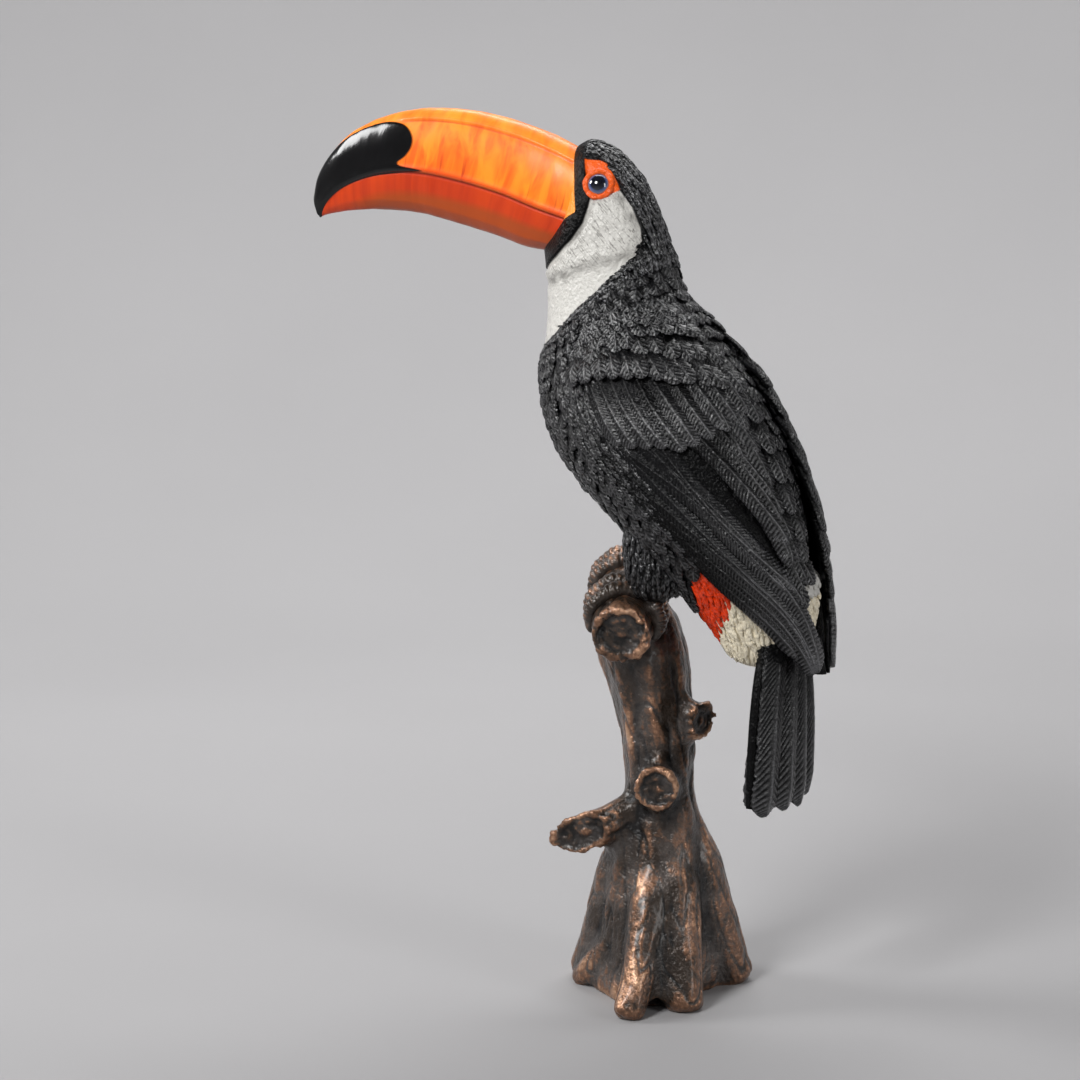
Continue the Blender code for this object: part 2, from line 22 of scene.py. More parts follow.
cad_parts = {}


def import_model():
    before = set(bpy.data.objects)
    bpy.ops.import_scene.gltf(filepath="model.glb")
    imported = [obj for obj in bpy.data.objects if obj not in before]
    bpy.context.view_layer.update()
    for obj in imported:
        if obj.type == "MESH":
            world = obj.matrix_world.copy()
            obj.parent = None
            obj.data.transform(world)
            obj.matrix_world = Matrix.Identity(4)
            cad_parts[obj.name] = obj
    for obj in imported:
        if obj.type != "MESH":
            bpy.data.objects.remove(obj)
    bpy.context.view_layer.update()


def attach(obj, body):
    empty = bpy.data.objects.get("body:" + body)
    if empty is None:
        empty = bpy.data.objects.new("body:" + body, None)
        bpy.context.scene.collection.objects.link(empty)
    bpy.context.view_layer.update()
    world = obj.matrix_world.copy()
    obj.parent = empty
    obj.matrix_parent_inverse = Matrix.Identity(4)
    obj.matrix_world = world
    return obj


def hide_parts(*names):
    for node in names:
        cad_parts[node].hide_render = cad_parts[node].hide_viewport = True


MM = 0.001
LOG = logging.getLogger("toucan_statue")
FIGURE_RAISE = 0.16  # how far the statue stands above the drawing of the figure
PERCH_AT = -24.0  # Y of the middle of the perch
FOOT_APART = 24.0  # from the middle of the perch to each foot
EYE_RADIUS = 6.8
EYE_DEPTH = 3.2  # how far the middle of an eye lies under the skin
TAIL_THICK = 5.0
FAR = 9.0  # how deep a point is said to lie in a painted area that is settled beforehand
CAMERA = (1.3365, 0.6810, 0.5)  # metres

# Body sections from the root of the bill to the vent: breast point Y and Z, spine point Y
# and Z, half width, and how far the sides bow back.
BODY_SECTIONS = np.array(
    (
        (-74, 421, -55, 477, 17, 13),
        (-72, 411, -43, 481.5, 22, 10),
        (-71, 403, -28, 474, 25, 6),
        (-72, 396, -15, 458, 26, 3),
        (-71.5, 386, -6, 440, 27, 0),
        (-72, 374, 0.5, 420, 30, 0),
        (-72.5, 360, 7.5, 399, 36, 0),
        (-71.5, 342, 26, 378, 43, 0),
        (-66.5, 323, 48, 351, 48, 0),
        (-56, 305, 64, 324, 50, 0),
        (-40.5, 289, 75, 297, 49, 0),
        (-22, 273, 82, 269, 45, 0),
        (-5, 257, 82.5, 243, 38, 0),
        (12, 240, 83, 219, 29, 0),
        (29, 221, 81.5, 203, 21, 0),
        (46, 197, 76, 194, 12, 0),
    ),
    float,
)

# Bill sections from root to tip: lower edge Y and Z, culmen Y and Z, half width, how far
# the sides bow back, and where the mouth line lies, as a share downwards.
BILL_SECTIONS = np.array(
    (
        (-72, 419, -52, 476, 16.5, 12, 0.60),
        (-90, 421.5, -70, 484, 16.5, 9, 0.60),
        (-110, 427.5, -95, 492, 15.5, 5, 0.60),
        (-134, 433.5, -121, 497.3, 14, 2, 0.60),
        (-157, 438.5, -147, 499, 12.5, 0, 0.60),
        (-179, 440.5, -171, 497.5, 11, 0, 0.61),
        (-197.5, 440.5, -192, 492, 9.2, 0, 0.64),
        (-211, 439.5, -208.5, 484, 7.6, 0, 0.69),
        (-220.5, 438, -221, 472.5, 5.8, 0, 0.76),
        (-226, 437, -229.5, 460.5, 4.2, 0, 0.84),
        (-229.5, 435.5, -233, 449, 2.6, 0, 0.90),
    ),
    float,
)

# Wing sections from shoulder to tip: front edge Y and Z, back edge Y and Z, half width,
# and the angles from the spine between which the wing lies.
WING_SECTIONS = np.array(
    (
        (-63, 366, 15.5, 391, 37, 26, 100),
        (-67, 346, 35.5, 374, 46, 20, 112),
        (-62, 319, 56.5, 347, 52, 17, 113),
        (-45, 293, 73.5, 318, 53, 18, 107),
        (-14, 266, 86, 287, 50, 18, 102),
        (24, 242, 93, 256, 42, 15, 98),
        (56, 221, 98, 226, 29, 6, 94),
        (84, 197, 102, 194, 10, 10, 90),
    ),
    float,
)

# Tail sections from root to tip: height, middle Y and half width.
TAIL_SECTIONS = np.array(
    ((222, 76, 6), (210, 76.5, 17), (197, 77.5, 30), (170, 77.5, 37), (142, 77, 38.5), (118.5, 76.5, 37.5)),
    float,
)

# Outlines of the painted areas as seen from the side, Y and Z.
BIB = (
    (-20.9, 455.2), (-14.2, 446.2), (-9.1, 435.2), (-7.5, 428.4), (-7.6, 423), (-9.8, 418.8),
    (-15.5, 412.5), (-20.6, 406), (-26.4, 399.4), (-33.7, 392.1), (-42.3, 385.2), (-52.3, 375),
    (-62.5, 366), (-90, 352), (-95, 405), (-72, 409), (-56.9, 418.3), (-45.4, 427.9),
    (-38.2, 437.3), (-35.5, 446.2), (-34.8, 451.5),
)
ORBIT = (
    (-42.4, 471.8), (-34.2, 471.3), (-30.6, 469.8), (-26.2, 464.5), (-22.6, 458.7),
    (-20.9, 455.2), (-28.1, 451.5), (-35, 451.9), (-37.8, 458.8),
)
BILL_ROOT = (
    (-60, 492), (-52, 473.2), (-46.7, 459), (-43.9, 446), (-43.2, 443.4), (-51.1, 439.5),
    (-62.3, 428.9), (-72.5, 421.6), (-100, 409), (-120, 500),
)
BAND = (
    (-56, 486), (-52, 473.2), (-46.7, 459), (-43.9, 446), (-43.2, 443.4), (-51.1, 439.5),
    (-62.3, 428.9), (-72.5, 421.6), (-90, 412), (-72, 409), (-56.9, 418.3), (-45.4, 427.9),
    (-38.2, 437.3), (-35.5, 446.2), (-34.8, 451.5), (-37.8, 458.8), (-41.6, 471.6), (-46, 486),
)
CHEEK = (
    (-20.9, 456), (-10, 440), (-6, 428), (-9.8, 419), (-30, 413), (-50, 406.5), (-76, 401),
    (-90, 409), (-56.9, 418.3), (-45.4, 427.9), (-38.2, 437.3), (-34.8, 451.5),
)
RED_VENT = ((45, 262), (62, 240), (56, 225), (48, 216), (42, 196), (30, 206), (37, 230))
CREAM_VENT = ((62, 240), (56, 225), (48, 216), (42, 196), (44, 180), (100, 180), (102, 200), (80, 236))


def hex_colour(code: str) -> tuple[float, float, float, float]:
    """Turns an sRGB hex colour into linear light.

    Args:
        code: Six hex digits after a hash sign.

    Returns:
        Red, green, blue and alpha for a shader.
    """
    parts = [int(code[i : i + 2], 16) / 255 for i in (1, 3, 5)]
    linear = [c / 12.92 if c <= 0.04045 else ((c + 0.055) / 1.055) ** 2.4 for c in parts]
    return (linear[0], linear[1], linear[2], 1.0)


def smooth_step(value: np.ndarray, low: float, high: float) -> np.ndarray:
    """Rises smoothly from 0 at low to 1 at high."""
    t = np.clip((value - low) / (high - low), 0, 1)
    return t * t * (3 - 2 * t)


def hump(value: np.ndarray, middle: float, width: float) -> np.ndarray:
    """A bell curve: 1 at the middle, and nearly 0 past twice the width."""
    return np.exp(-(((value - middle) / width) ** 2))


def run_along(line: np.ndarray) -> np.ndarray:
    """How far each point of a line lies from its start."""
    return np.concatenate(((0,), np.cumsum(np.linalg.norm(np.diff(line, axis=0), axis=-1))))


def lattice_noise(points: np.ndarray, seed: int) -> np.ndarray:
    """Smooth random values at points that are given in cells of the noise.

    Args:
        points: Places, three numbers each.
        seed: Which of the endless patterns to use.

    Returns:
        One value from -1 to 1 for each place.
    """
    cell = np.floor(points).astype(np.int64)
    part = points - cell
    part = part * part * (3 - 2 * part)
    total = np.zeros(points.shape[:-1])
    for corner in itertools.product((0, 1), repeat=3):
        at = cell + np.array(corner)
        mixed = (at[..., 0] * 73856093) ^ (at[..., 1] * 19349663) ^ (at[..., 2] * 83492791)
        mixed = (mixed + seed * 374761393) & 0x7FFFFFFF
        mixed = ((mixed ^ (mixed >> 13)) * 1274126177) & 0x7FFFFFFF
        value = ((mixed ^ (mixed >> 16)) & 0xFFFF) / 32767.5 - 1
        share = np.prod(np.where(np.array(corner) == 1, part, 1 - part), axis=-1)
        total += value * share
    return total


def layered_noise(points: np.ndarray, seed: int, layers: int = 3) -> np.ndarray:
    """Adds layers of finer and fainter noise, from about -1 to 1."""
    return sum(lattice_noise(points * 2.03**k, seed + k) * 0.5**k for k in range(layers)) / 1.5


def read_table(table: np.ndarray, place: np.ndarray) -> np.ndarray:
    """Reads a table between its rows with a smooth curve, and past its ends with a line.

    Args:
        table: Rows of numbers.
        place: Row numbers, with fractions.

    Returns:
        A row of numbers for each place.
    """
    last = len(table) - 1
    inside = np.clip(place, 0, last)
    index = np.minimum(inside.astype(int), last - 1)
    t = (inside - index)[..., None]
    a, b, c, d = (table[np.clip(index + k, 0, last)] for k in (-1, 0, 1, 2))
    curve = 0.5 * (2 * b + (c - a) * t + (2 * a - 5 * b + 4 * c - d) * t**2 + (3 * (b - c) + d - a) * t**3)
    return curve + (c - b) * (place - inside)[..., None]


def oval_point(section: np.ndarray, angle: np.ndarray) -> np.ndarray:
    """Points on oval sections, at angles from the spine towards the left side."""
    front_y, front_z, back_y, back_z, half_width, bow = (section[..., k] for k in range(6))
    reach_y, reach_z = (back_y - front_y) / 2, (back_z - front_z) / 2
    length = np.hypot(reach_y, reach_z)
    c, s = np.cos(angle), np.sin(angle)
    y = (front_y + back_y) / 2 + reach_y * c + reach_z / length * bow * s * s
    z = (front_z + back_z) / 2 + reach_z * c - reach_y / length * bow * s * s
    return np.stack((half_width * s, y, z + FIGURE_RAISE), -1)


def rounded(outline: Sequence[tuple[float, float]], steps: int = 5) -> list[tuple[float, float]]:
    """Adds corners to a closed outline so that it curves smoothly through the given ones."""
    corners = np.array(outline, float)
    looped = np.concatenate((corners[-1:], corners, corners[:2]))
    place = 1 + np.arange(len(corners) * steps) / steps
    return [tuple(row) for row in read_table(looped, place)]


def inside_distance(outline: Sequence[tuple[float, float]], y: np.ndarray, z: np.ndarray) -> np.ndarray:
    """How far places lie inside an outline, below zero outside it.

    Args:
        outline: Corners of the closed outline.
        y: First coordinate of each place.
        z: Second coordinate of each place.

    Returns:
        The distances, in the outline's own units.
    """
    corners = np.array(outline, float)
    nearest = np.full(y.shape, 1e9)
    crossed = np.zeros(y.shape, bool)
    for (ay, az), (by, bz) in zip(corners, np.roll(corners, -1, axis=0)):
        ey, ez = by - ay, bz - az
        t = np.clip(((y - ay) * ey + (z - az) * ez) / (ey * ey + ez * ez), 0, 1)
        nearest = np.minimum(nearest, np.hypot(y - ay - ey * t, z - az - ez * t))
        straddles = (az > z) != (bz > z)
        crossed ^= straddles & (y < ey * (z - az) / (ez if ez else 1e-9) + ay)
    return np.where(crossed, nearest, -nearest)


class Chart:
    """A curved surface that takes one coordinate along it and one across it."""

    turn: float = 1.0  # 1 where across, then along, turn outwards, and -1 where inwards

    def place(self, along: np.ndarray, across: np.ndarray) -> np.ndarray:
        """Points on the surface, in millimetres."""
        raise NotImplementedError

    def frame(self, along: np.ndarray, across: np.ndarray) -> tuple[np.ndarray, ...]:
        """Points, the two directions in which the coordinates grow, and outward normals.

        Args:
            along: Coordinates along the surface.
            across: Coordinates across it.

        Returns:
            Points, change per unit along, change per unit across, and unit normals.
        """
        step = 1e-3
        down = (self.place(along + step, across) - self.place(along - step, across)) / (2 * step)
        over = (self.place(along, across + step) - self.place(along, across - step)) / (2 * step)
        normal = np.cross(over, down) * self.turn
        normal /= np.linalg.norm(normal, axis=-1, keepdims=True) + 1e-9
        return self.place(along, across), down, over, normal


class BodyChart(Chart):
    """Head, neck and body: section number along, angle from the spine across."""

    def place(self, along: np.ndarray, across: np.ndarray) -> np.ndarray:
        """Points on the surface, in millimetres."""
        return oval_point(read_table(BODY_SECTIONS, along), across)


class BillChart(Chart):
    """The bill: section number along, angle from the culmen across."""

    turn = -1.0

    def place(self, along: np.ndarray, across: np.ndarray) -> np.ndarray:
        """Points on the surface, in millimetres."""
        return oval_point(read_table(BILL_SECTIONS, along), across)

    def mouth(self, along: np.ndarray) -> np.ndarray:
        """The angle of the mouth line from the culmen."""
        return np.arccos(np.clip(1 - 2 * read_table(BILL_SECTIONS, along)[..., 6], -1, 1))


class WingChart(Chart):
    """A folded wing: section number along, share from the back edge to the front across."""

    def __init__(self, side: float) -> None:
        """Takes 1 for the left wing and -1 for the right one."""
        self.turn = side

    def place(self, along: np.ndarray, across: np.ndarray) -> np.ndarray:
        """Points on the surface, in millimetres."""
        section = read_table(WING_SECTIONS, along)
        angle = np.radians(section[..., 5] + (section[..., 6] - section[..., 5]) * across)
        flat = section[..., :6] * np.array((1, 1, 1, 1, 1, 0))
        return oval_point(flat, self.turn * angle)


class TailChart(Chart):
    """One face of the tail: section number along, -1 at the right to 1 at the left across."""

    def __init__(self, turn: float) -> None:
        """Takes 1 for the face that looks back and -1 for the one that looks forward."""
        self.turn = turn

    def place(self, along: np.ndarray, across: np.ndarray) -> np.ndarray:
        """Points on the surface, in millimetres."""
        height, middle, half_width = np.moveaxis(read_table(TAIL_SECTIONS, along), -1, 0)
        depth = 0.0 if self.turn > 0 else -TAIL_THICK
        y = middle + 7.5 * (0.5 - across * across) + depth
        return np.stack((across * half_width, y, height + FIGURE_RAISE), -1)


class ThighChart(Chart):
    """A thigh: share of the way down along, angle from +X towards +Y across."""

    turn = -1.0

    def __init__(self, side: float) -> None:
        """Takes 1 for the left leg and -1 for the right one."""
        foot = Perch().axis(side * FOOT_APART) + (0, 0, Perch().radius(side * FOOT_APART))
        body = BodyChart()
        side_point = body.place(np.array(11.4), np.array(side * math.radians(100)))
        hip = (side_point + body.place(np.array(11.4), np.array(math.pi))) / 2
        self.hip = hip + (0, 0, 12)
        self.foot = foot + (0, 20, -4)

    def place(self, along: np.ndarray, across: np.ndarray) -> np.ndarray:
        """Points on the surface, in millimetres."""
        size = np.interp(along, (0, 0.35, 0.7, 0.93, 1.0, 1.06), (1.0, 1.12, 1.05, 0.86, 0.6, 0.3))
        middle = self.hip + (self.foot - self.hip) * along[..., None]
        flat = np.zeros_like(size)
        return middle + np.stack((12.5 * np.cos(across) * size, 15.5 * np.sin(across) * size, flat), -1)


@dataclass(frozen=True)
class Perch:
    """The limb across the top of the stump."""

    length: float = 98.0
    stout: float = 17.0
    yaw: float = math.radians(25)
    rise: float = math.radians(10)
    height: float = 221.5

    def out(self) -> np.ndarray:
        """The direction from the perch's far end to its near end."""
        flat = math.cos(self.rise)
        return np.array((math.cos(self.yaw) * flat, math.sin(self.yaw) * flat, -math.sin(self.rise)))

    def axis(self, along: np.ndarray | float) -> np.ndarray:
        """Points on the axis, this far from the middle towards the near end."""
        return np.array((0, PERCH_AT, self.height)) + np.multiply.outer(along, self.out())

    def radius(self, along: np.ndarray | float) -> np.ndarray:
        """The perch is a little stouter in its middle than at its ends."""
        return self.stout * (1.08 - 0.12 * (2 * np.asarray(along) / self.length) ** 2)


@dataclass
class Shell:
    """Points and faces that are gathered before they become a mesh."""

    points: list[np.ndarray] = field(default_factory=list)
    faces: list[np.ndarray] = field(default_factory=list)
    marks: dict[str, list[np.ndarray]] = field(default_factory=dict)
    count: int = 0

    def add(self, points: np.ndarray, faces: Sequence[np.ndarray], **marks: np.ndarray) -> None:
        """Adds points, faces that number them, and named values for each point.

        Args:
            points: Places in millimetres.
            faces: Arrays of triangles or four-sided faces.
            **marks: One value for each point under each name.
        """
        flat = points.reshape(-1, 3)
        self.points.append(flat)
        self.faces.extend(face + self.count for face in faces)
        for name, values in marks.items():
            self.marks.setdefault(name, []).append(np.broadcast_to(values, points.shape[:-1]).ravel())
        self.count += len(flat)

    def add_skin(
        self,
        rings: np.ndarray,
        flip: bool = False,
        poles: Sequence[np.ndarray] | None = None,
        **marks: np.ndarray | float,
    ) -> None:
        """Adds a closed skin over rows of rings, with a point that closes each end.

        Args:
            rings: Rows of points in millimetres, each row a closed ring.
            flip: Whether the faces turn the other way.
            poles: The two closing points, or nothing for the middles of the end rings.
            **marks: A value for each point of the rings or one for all, where a pole takes the
                first value of its ring, or a flat row that has the poles' values at its end.
        """
        rows, columns = rings.shape[:2]
        poles = (rings[0].mean(0), rings[-1].mean(0)) if poles is None else poles
        edge = np.arange(columns)
        faces = [
            grid_faces(rows, columns, closed=True, flip=flip),
            fan_faces(edge, rows * columns, flip),
            fan_faces(edge + (rows - 1) * columns, rows * columns + 1, not flip),
        ]
        for name, values in marks.items():
            if np.ndim(values) != 1:
                each = np.broadcast_to(values, (rows, columns))
                marks[name] = np.append(each, (each[0, 0], each[-1, 0]))
        self.add(np.concatenate((rings.reshape(-1, 3), poles)), faces, **marks)

    def build(self, name: str, finish: Finish | None = None) -> bpy.types.Object:
        """Makes the mesh object, in metres, with its values as point attributes.

        Args:
            name: The piece's name.
            finish: What it is painted with, if that is known yet.

        Returns:
            The new object, linked to the scene.
        """
        mesh = bpy.data.meshes.new(name)
        points = np.concatenate(self.points) * MM
        sizes = np.concatenate([np.full(len(f), f.shape[1]) for f in self.faces])
        corners = np.concatenate([f.ravel() for f in self.faces])
        mesh.vertices.add(len(points))
        mesh.vertices.foreach_set("co", points.astype(np.float32).ravel())
        mesh.loops.add(len(corners))
        mesh.loops.foreach_set("vertex_index", corners.astype(np.int32))
        mesh.polygons.add(len(sizes))
        starts = np.concatenate(((0,), np.cumsum(sizes)[:-1]))
        mesh.polygons.foreach_set("loop_start", starts.astype(np.int32))
        mesh.update(calc_edges=True)
        mesh.polygons.foreach_set("use_smooth", np.ones(len(sizes), bool))
        for mark, values in self.marks.items():
            set_mark(mesh, mark, np.concatenate(values))
        mesh.update()
        made = bpy.data.objects.new(name, mesh)
        bpy.context.scene.collection.objects.link(made)
        if finish is not None:
            finish.dress(made)
        return made


def read_vectors(mesh: bpy.types.Mesh, name: str) -> np.ndarray:
    """The places or the normals of a mesh's points."""
    values = np.empty(len(mesh.vertices) * 3, np.float32)
    mesh.vertices.foreach_get(name, values)
    return values.reshape(-1, 3)


def set_mark(mesh: bpy.types.Mesh, name: str, values: np.ndarray) -> None:
    """Stores one value for each point of a mesh under a name that materials read."""
    attribute = mesh.attributes.get(name) or mesh.attributes.new(name, "FLOAT", "POINT")
    attribute.data.foreach_set("value", values.astype(np.float32))


def grid_faces(
    rows: int, columns: int, closed: bool, flip: bool = False, joined: bool = False
) -> np.ndarray:
    """Four-sided faces over a grid of points.

    Args:
        rows: Number of rows.
        columns: Number of points in a row.
        closed: Whether the last column meets the first.
        flip: Whether the faces turn the other way.
        joined: Whether the last row meets the first.

    Returns:
        Point numbers, four for each face.
    """
    i = np.arange(rows if joined else rows - 1)[:, None]
    j = np.arange(columns if closed else columns - 1)[None, :]
    here, below, k = i * columns, (i + 1) % rows * columns, (j + 1) % columns
    quads = np.stack(np.broadcast_arrays(here + j, below + j, below + k, here + k), -1).reshape(-1, 4)
    return quads[:, ::-1] if flip else quads


def fan_faces(ring: np.ndarray, pole: int, flip: bool = False) -> np.ndarray:
    """Triangles from a pole to each side of a closed ring."""
    fan = np.stack((ring, np.roll(ring, -1), np.full(len(ring), pole)), -1)
    return fan[:, ::-1] if flip else fan


class Area(enum.Enum):
    """The painted areas that a point of the plumage may lie in."""

    BIB = "bib"
    ORBIT = "orbit"
    BILL_ROOT = "bill_root"
    RED = "red"
    CREAM = "cream"
    RUMP = "rump"


def area_marks(points: np.ndarray) -> dict[str, np.ndarray]:
    """How far each point lies inside each painted area, in millimetres."""
    x, y, z = np.moveaxis(points, -1, 0)
    rump = ((-17, 226), (-5, 219), (5, 219), (17, 226), (13, 251), (4, 259), (-4, 259), (-13, 251))
    return {
        Area.BIB.value: inside_distance(BIB, y, z),
        Area.ORBIT.value: inside_distance(ORBIT, y, z),
        Area.BILL_ROOT.value: inside_distance(BILL_ROOT, y, z),
        Area.RED.value: inside_distance(RED_VENT, y, z),
        Area.CREAM.value: inside_distance(CREAM_VENT, y, z),
        Area.RUMP.value: np.where(y > 62, inside_distance(rump, x, z), -FAR),
    }


@dataclass(frozen=True)
class FeatherCut:
    """How one kind of feather is carved, in millimetres."""

    barb: float = 1.5  # from one barb to the next
    barb_depth: float = 0.22
    shaft: float = 0.3  # how far the shaft stands up
    camber: float = 0.7  # how far the middle stands above the edges
    lift: float = 1.7  # height of the tip above the surface
    sink: float = 0.3  # depth of the root below the surface
    thick: float = 1.3
    end: float = 0.9  # length of the rounded tip, as a share of the width
    lag: float = 0.42  # how far barbs slant towards the tip, as a share of the width
    ragged: float = 0.05  # how far the edge goes in and out, as a share of the width
    tilt: float = 0.0  # how far the front edge stands above the back edge
    narrow: float = 0.75  # width at the root as a share of the full width
    half: tuple[float, ...] = (0.0, 0.13, 0.5, 0.82, 1.0)  # where the lengthwise lines lie

    def outline(
        self, length: np.ndarray, widths: np.ndarray, rng: np.random.Generator
    ) -> tuple[np.ndarray, ...]:
        """Outlines of feathers, row by row from root to tip.

        Args:
            length: Lengths of the feathers, in millimetres.
            widths: Their full widths.
            rng: Source of the ragged edge.

        Returns:
            Half widths, how far down the edge and the shaft the rows lie, how far round the tip
            they are in radians, and 1 for the rows on a barb and -1 for those in a cut.
        """
        rows = 2 * max(4, round(float(length.mean()) / self.barb)) + 1
        s = np.linspace(0, 1, rows)[None, :]
        long, wide = length[:, None], widths[:, None]
        tip_long = np.minimum(self.end * wide, 0.7 * long)
        arc = 1.2 * np.hypot(tip_long, wide / 2)
        turn_at = (long - tip_long) / (long - tip_long + arc)
        phi = np.clip((s - turn_at) / (1 - turn_at), 0, 1) * (math.pi / 2 - 0.06)
        straight = np.clip(s / turn_at, 0, 1)
        edge_y = (long - tip_long) * straight + tip_long * np.sin(phi)
        edge_x = wide / 2 * (self.narrow + (1 - self.narrow) * np.sin(straight * math.pi / 2)) * np.cos(phi)
        wave = np.where(np.arange(rows) % 2, 1.0, -1.0)[None, :]
        # One row in twenty is chipped at its edge.
        size = (len(length), rows)
        uneven = rng.normal(0, 0.7, size) + wave - 4.0 * (rng.random(size) < 0.05)
        edge_x = edge_x * (1 + self.ragged * uneven * (phi < 1.2))
        lag = self.lag * wide * smooth_step(s, 0, 0.2) * (1 - 0.75 * smooth_step(s, 0.6, 1.0))
        return edge_x, edge_y, np.maximum(edge_y - lag, 0), phi, wave

    def carved(
        self, length: np.ndarray, widths: np.ndarray, turn: float, rng: np.random.Generator
    ) -> tuple[np.ndarray, ...]:
        """Feathers with their shaft, barbs and thickness, before they lie on a chart.

        Args:
            length: Lengths of the feathers, in millimetres.
            widths: Their full widths.
            turn: The chart's turn, 1 or -1.
            rng: Source of the small irregularities.

        Returns:
            How far the points lie aside, down and up, how much each is brushed with grey, where low values
            paint shade into the cuts, under the blade and towards the root, and how far down the edge the
            rows lie.
        """
        edge_x, edge_y, shaft_y, phi, wave = self.outline(length, widths, rng)
        each = (len(length), 1, 1)
        long = length[:, None, None]
        half = np.array(self.half)
        u = np.concatenate((-half[:0:-1], half))[None, None, :]
        reach = np.abs(u)
        x = edge_x[..., None] * u
        y = shaft_y[..., None] + (edge_y - shaft_y)[..., None] * reach**1.25
        run = y / long
        barbs = smooth_step(reach, 0.1, 0.45) * (1 - 0.4 * smooth_step(reach, 0.8, 1.0))
        high = -self.sink + (self.lift + self.sink) * smooth_step(run, -0.25, 0.8)
        high = high + self.camber * (1 - reach**2) * (0.4 + 0.6 * run) * (1 - 0.5 * smooth_step(run, 0.85, 1))
        high = high + self.shaft * (reach < 0.05) * (1 - run**3)
        high = high + self.barb_depth * 0.5 * barbs * wave[..., None]
        high = high + rng.normal(0, 0.05, high.shape) + rng.normal(0, 0.35, each) * run
        lean = turn * self.tilt + rng.normal(0, 0.3, each)
        high = high - lean * u * smooth_step(run, 0, 0.4)
        # Grey dry-brush on barbs, shaft, tip and edges; low values are painted shade in the cuts and at the
        # root.
        ridge = np.clip(0.45 + 0.4 * barbs * wave[..., None] + 0.6 * (reach < 0.05), 0, 1)
        ridge = np.clip(ridge + 0.35 * smooth_step(run, 0.85, 1.0) + 0.2 * (reach > 0.95), 0, 1)
        ridge = ridge * (0.25 + 0.75 * smooth_step(run, 0.15, 0.75))

        # Two more lines, tucked in under the edges, close the blade below.
        skirt_x = edge_x[..., None] * np.array((0.9, -0.9))
        skirt_y = np.repeat((edge_y - 0.12 * widths[:, None] * (phi > 0.3))[..., None], 2, -1)
        skirt_high = np.stack((high[..., -1], high[..., 0]), -1) - self.thick
        # The lines below get no brushing and take the blackest painted shade.
        ridge = np.concatenate((np.broadcast_to(ridge, x.shape), np.zeros(skirt_x.shape)), -1)
        x, y = np.concatenate((x, skirt_x), -1), np.concatenate((y, skirt_y), -1)
        high = np.concatenate((high, skirt_high), -1)
        x = x + (rng.normal(0, 0.035, len(length)) * length)[:, None, None] * np.sin(np.pi * y / long)
        return x, y, high, ridge, edge_y


DOWN = FeatherCut(barb=2.4, barb_depth=0.0, camber=0.8, lift=0.8, thick=0.9, end=1.8, ragged=0.04, lag=0.1,
                  half=(0.0, 0.5, 1.0))  # the soft strands of the vent and rump


def lay_feathers(
    shell: Shell,
    chart: Chart,
    cut: FeatherCut,
    roots: np.ndarray,
    tips: np.ndarray,
    widths: np.ndarray,
    rng: np.random.Generator,
    painted: bool = False,
) -> None:
    """Lays feathers on a chart, each a closed carved blade with a shaft and barbs.

    Args:
        shell: Where the blades are gathered.
        chart: The surface that they lie on.
        cut: How they are carved.
        roots: Chart coordinates of the roots, two for each feather.
        tips: Chart coordinates of the tips.
        widths: Full widths in millimetres.
        rng: Source of the small irregularities.
        painted: Whether the painted areas are marked on the points.
    """
    count = len(roots)
    if not count:
        return
    start, end = chart.place(*roots.T), chart.place(*tips.T)
    length = np.linalg.norm(end - start, axis=-1)
    x, y, high, ridge, edge_y = cut.carved(length, widths, chart.turn, rng)
    rows, loop = x.shape[1:]
    long = length[:, None]
    share = edge_y / long
    step = (tips - roots)[:, None, :]
    middle = roots[:, None, :] + step * share[..., None]
    _, down, over, normal = chart.frame(middle[..., 0], middle[..., 1])
    heading = down * step[..., :1] + over * step[..., 1:]
    sideways = np.cross(normal, heading)
    sideways /= np.linalg.norm(sideways, axis=-1, keepdims=True)
    # A millimetre sideways, in chart coordinates.
    dd, do, oo = (down * down).sum(-1), (down * over).sum(-1), (over * over).sum(-1)
    sd, so = (sideways * down).sum(-1), (sideways * over).sum(-1)
    det = dd * oo - do * do
    aside = np.stack(((sd * oo - so * do) / det, (so * dd - sd * do) / det), -1)
    where = roots[:, None, None, :] + step[:, :, None, :] * (y / long[..., None])[..., None]
    where = where + aside[:, :, None, :] * x[..., None]
    base, _, _, normal = chart.frame(where[..., 0], where[..., 1])
    points = base + normal * high[..., None]

    quads = grid_faces(rows, loop, closed=True)
    j = np.arange(1, loop - 1)
    first = np.stack((np.zeros_like(j), j, j + 1), -1)
    last = np.stack((np.zeros_like(j), j + 1, j), -1) + (rows - 1) * loop
    offsets = (np.arange(count) * rows * loop)[:, None, None]
    faces = [(part[None] + offsets).reshape(-1, part.shape[1]) for part in (quads, first, last)]
    tone = np.broadcast_to(rng.random(count)[:, None, None], x.shape)
    marks = {"ridge": ridge, "tone": tone}
    if painted:
        marks.update(area_marks(np.broadcast_to(chart.place(*tips.T)[:, None, None, :], points.shape)))
    shell.add(points, faces, **marks)


def add_node(
    tree: bpy.types.NodeTree,
    kind: str,
    settings: dict[str | int, object] | None = None,
    links: dict[str | int, bpy.types.NodeSocket] | None = None,
) -> bpy.types.Node:
    """Adds a node with its settings and links.

    Args:
        tree: The material's nodes.
        kind: The node's type, without its first word.
        settings: Values for its own options, in small letters, and for its inputs, where a hex
            code stands for a colour.
        links: Outputs that feed its inputs.

    Returns:
        The new node.
    """
    node = tree.nodes.new("ShaderNode" + kind)
    for name, value in (settings or {}).items():
        if isinstance(name, str) and name[0].islower():
            setattr(node, name, value)
        else:
            node.inputs[name].default_value = hex_colour(value) if isinstance(value, str) else value
    for name, source in (links or {}).items():
        tree.links.new(source, node.inputs[name])
    return node


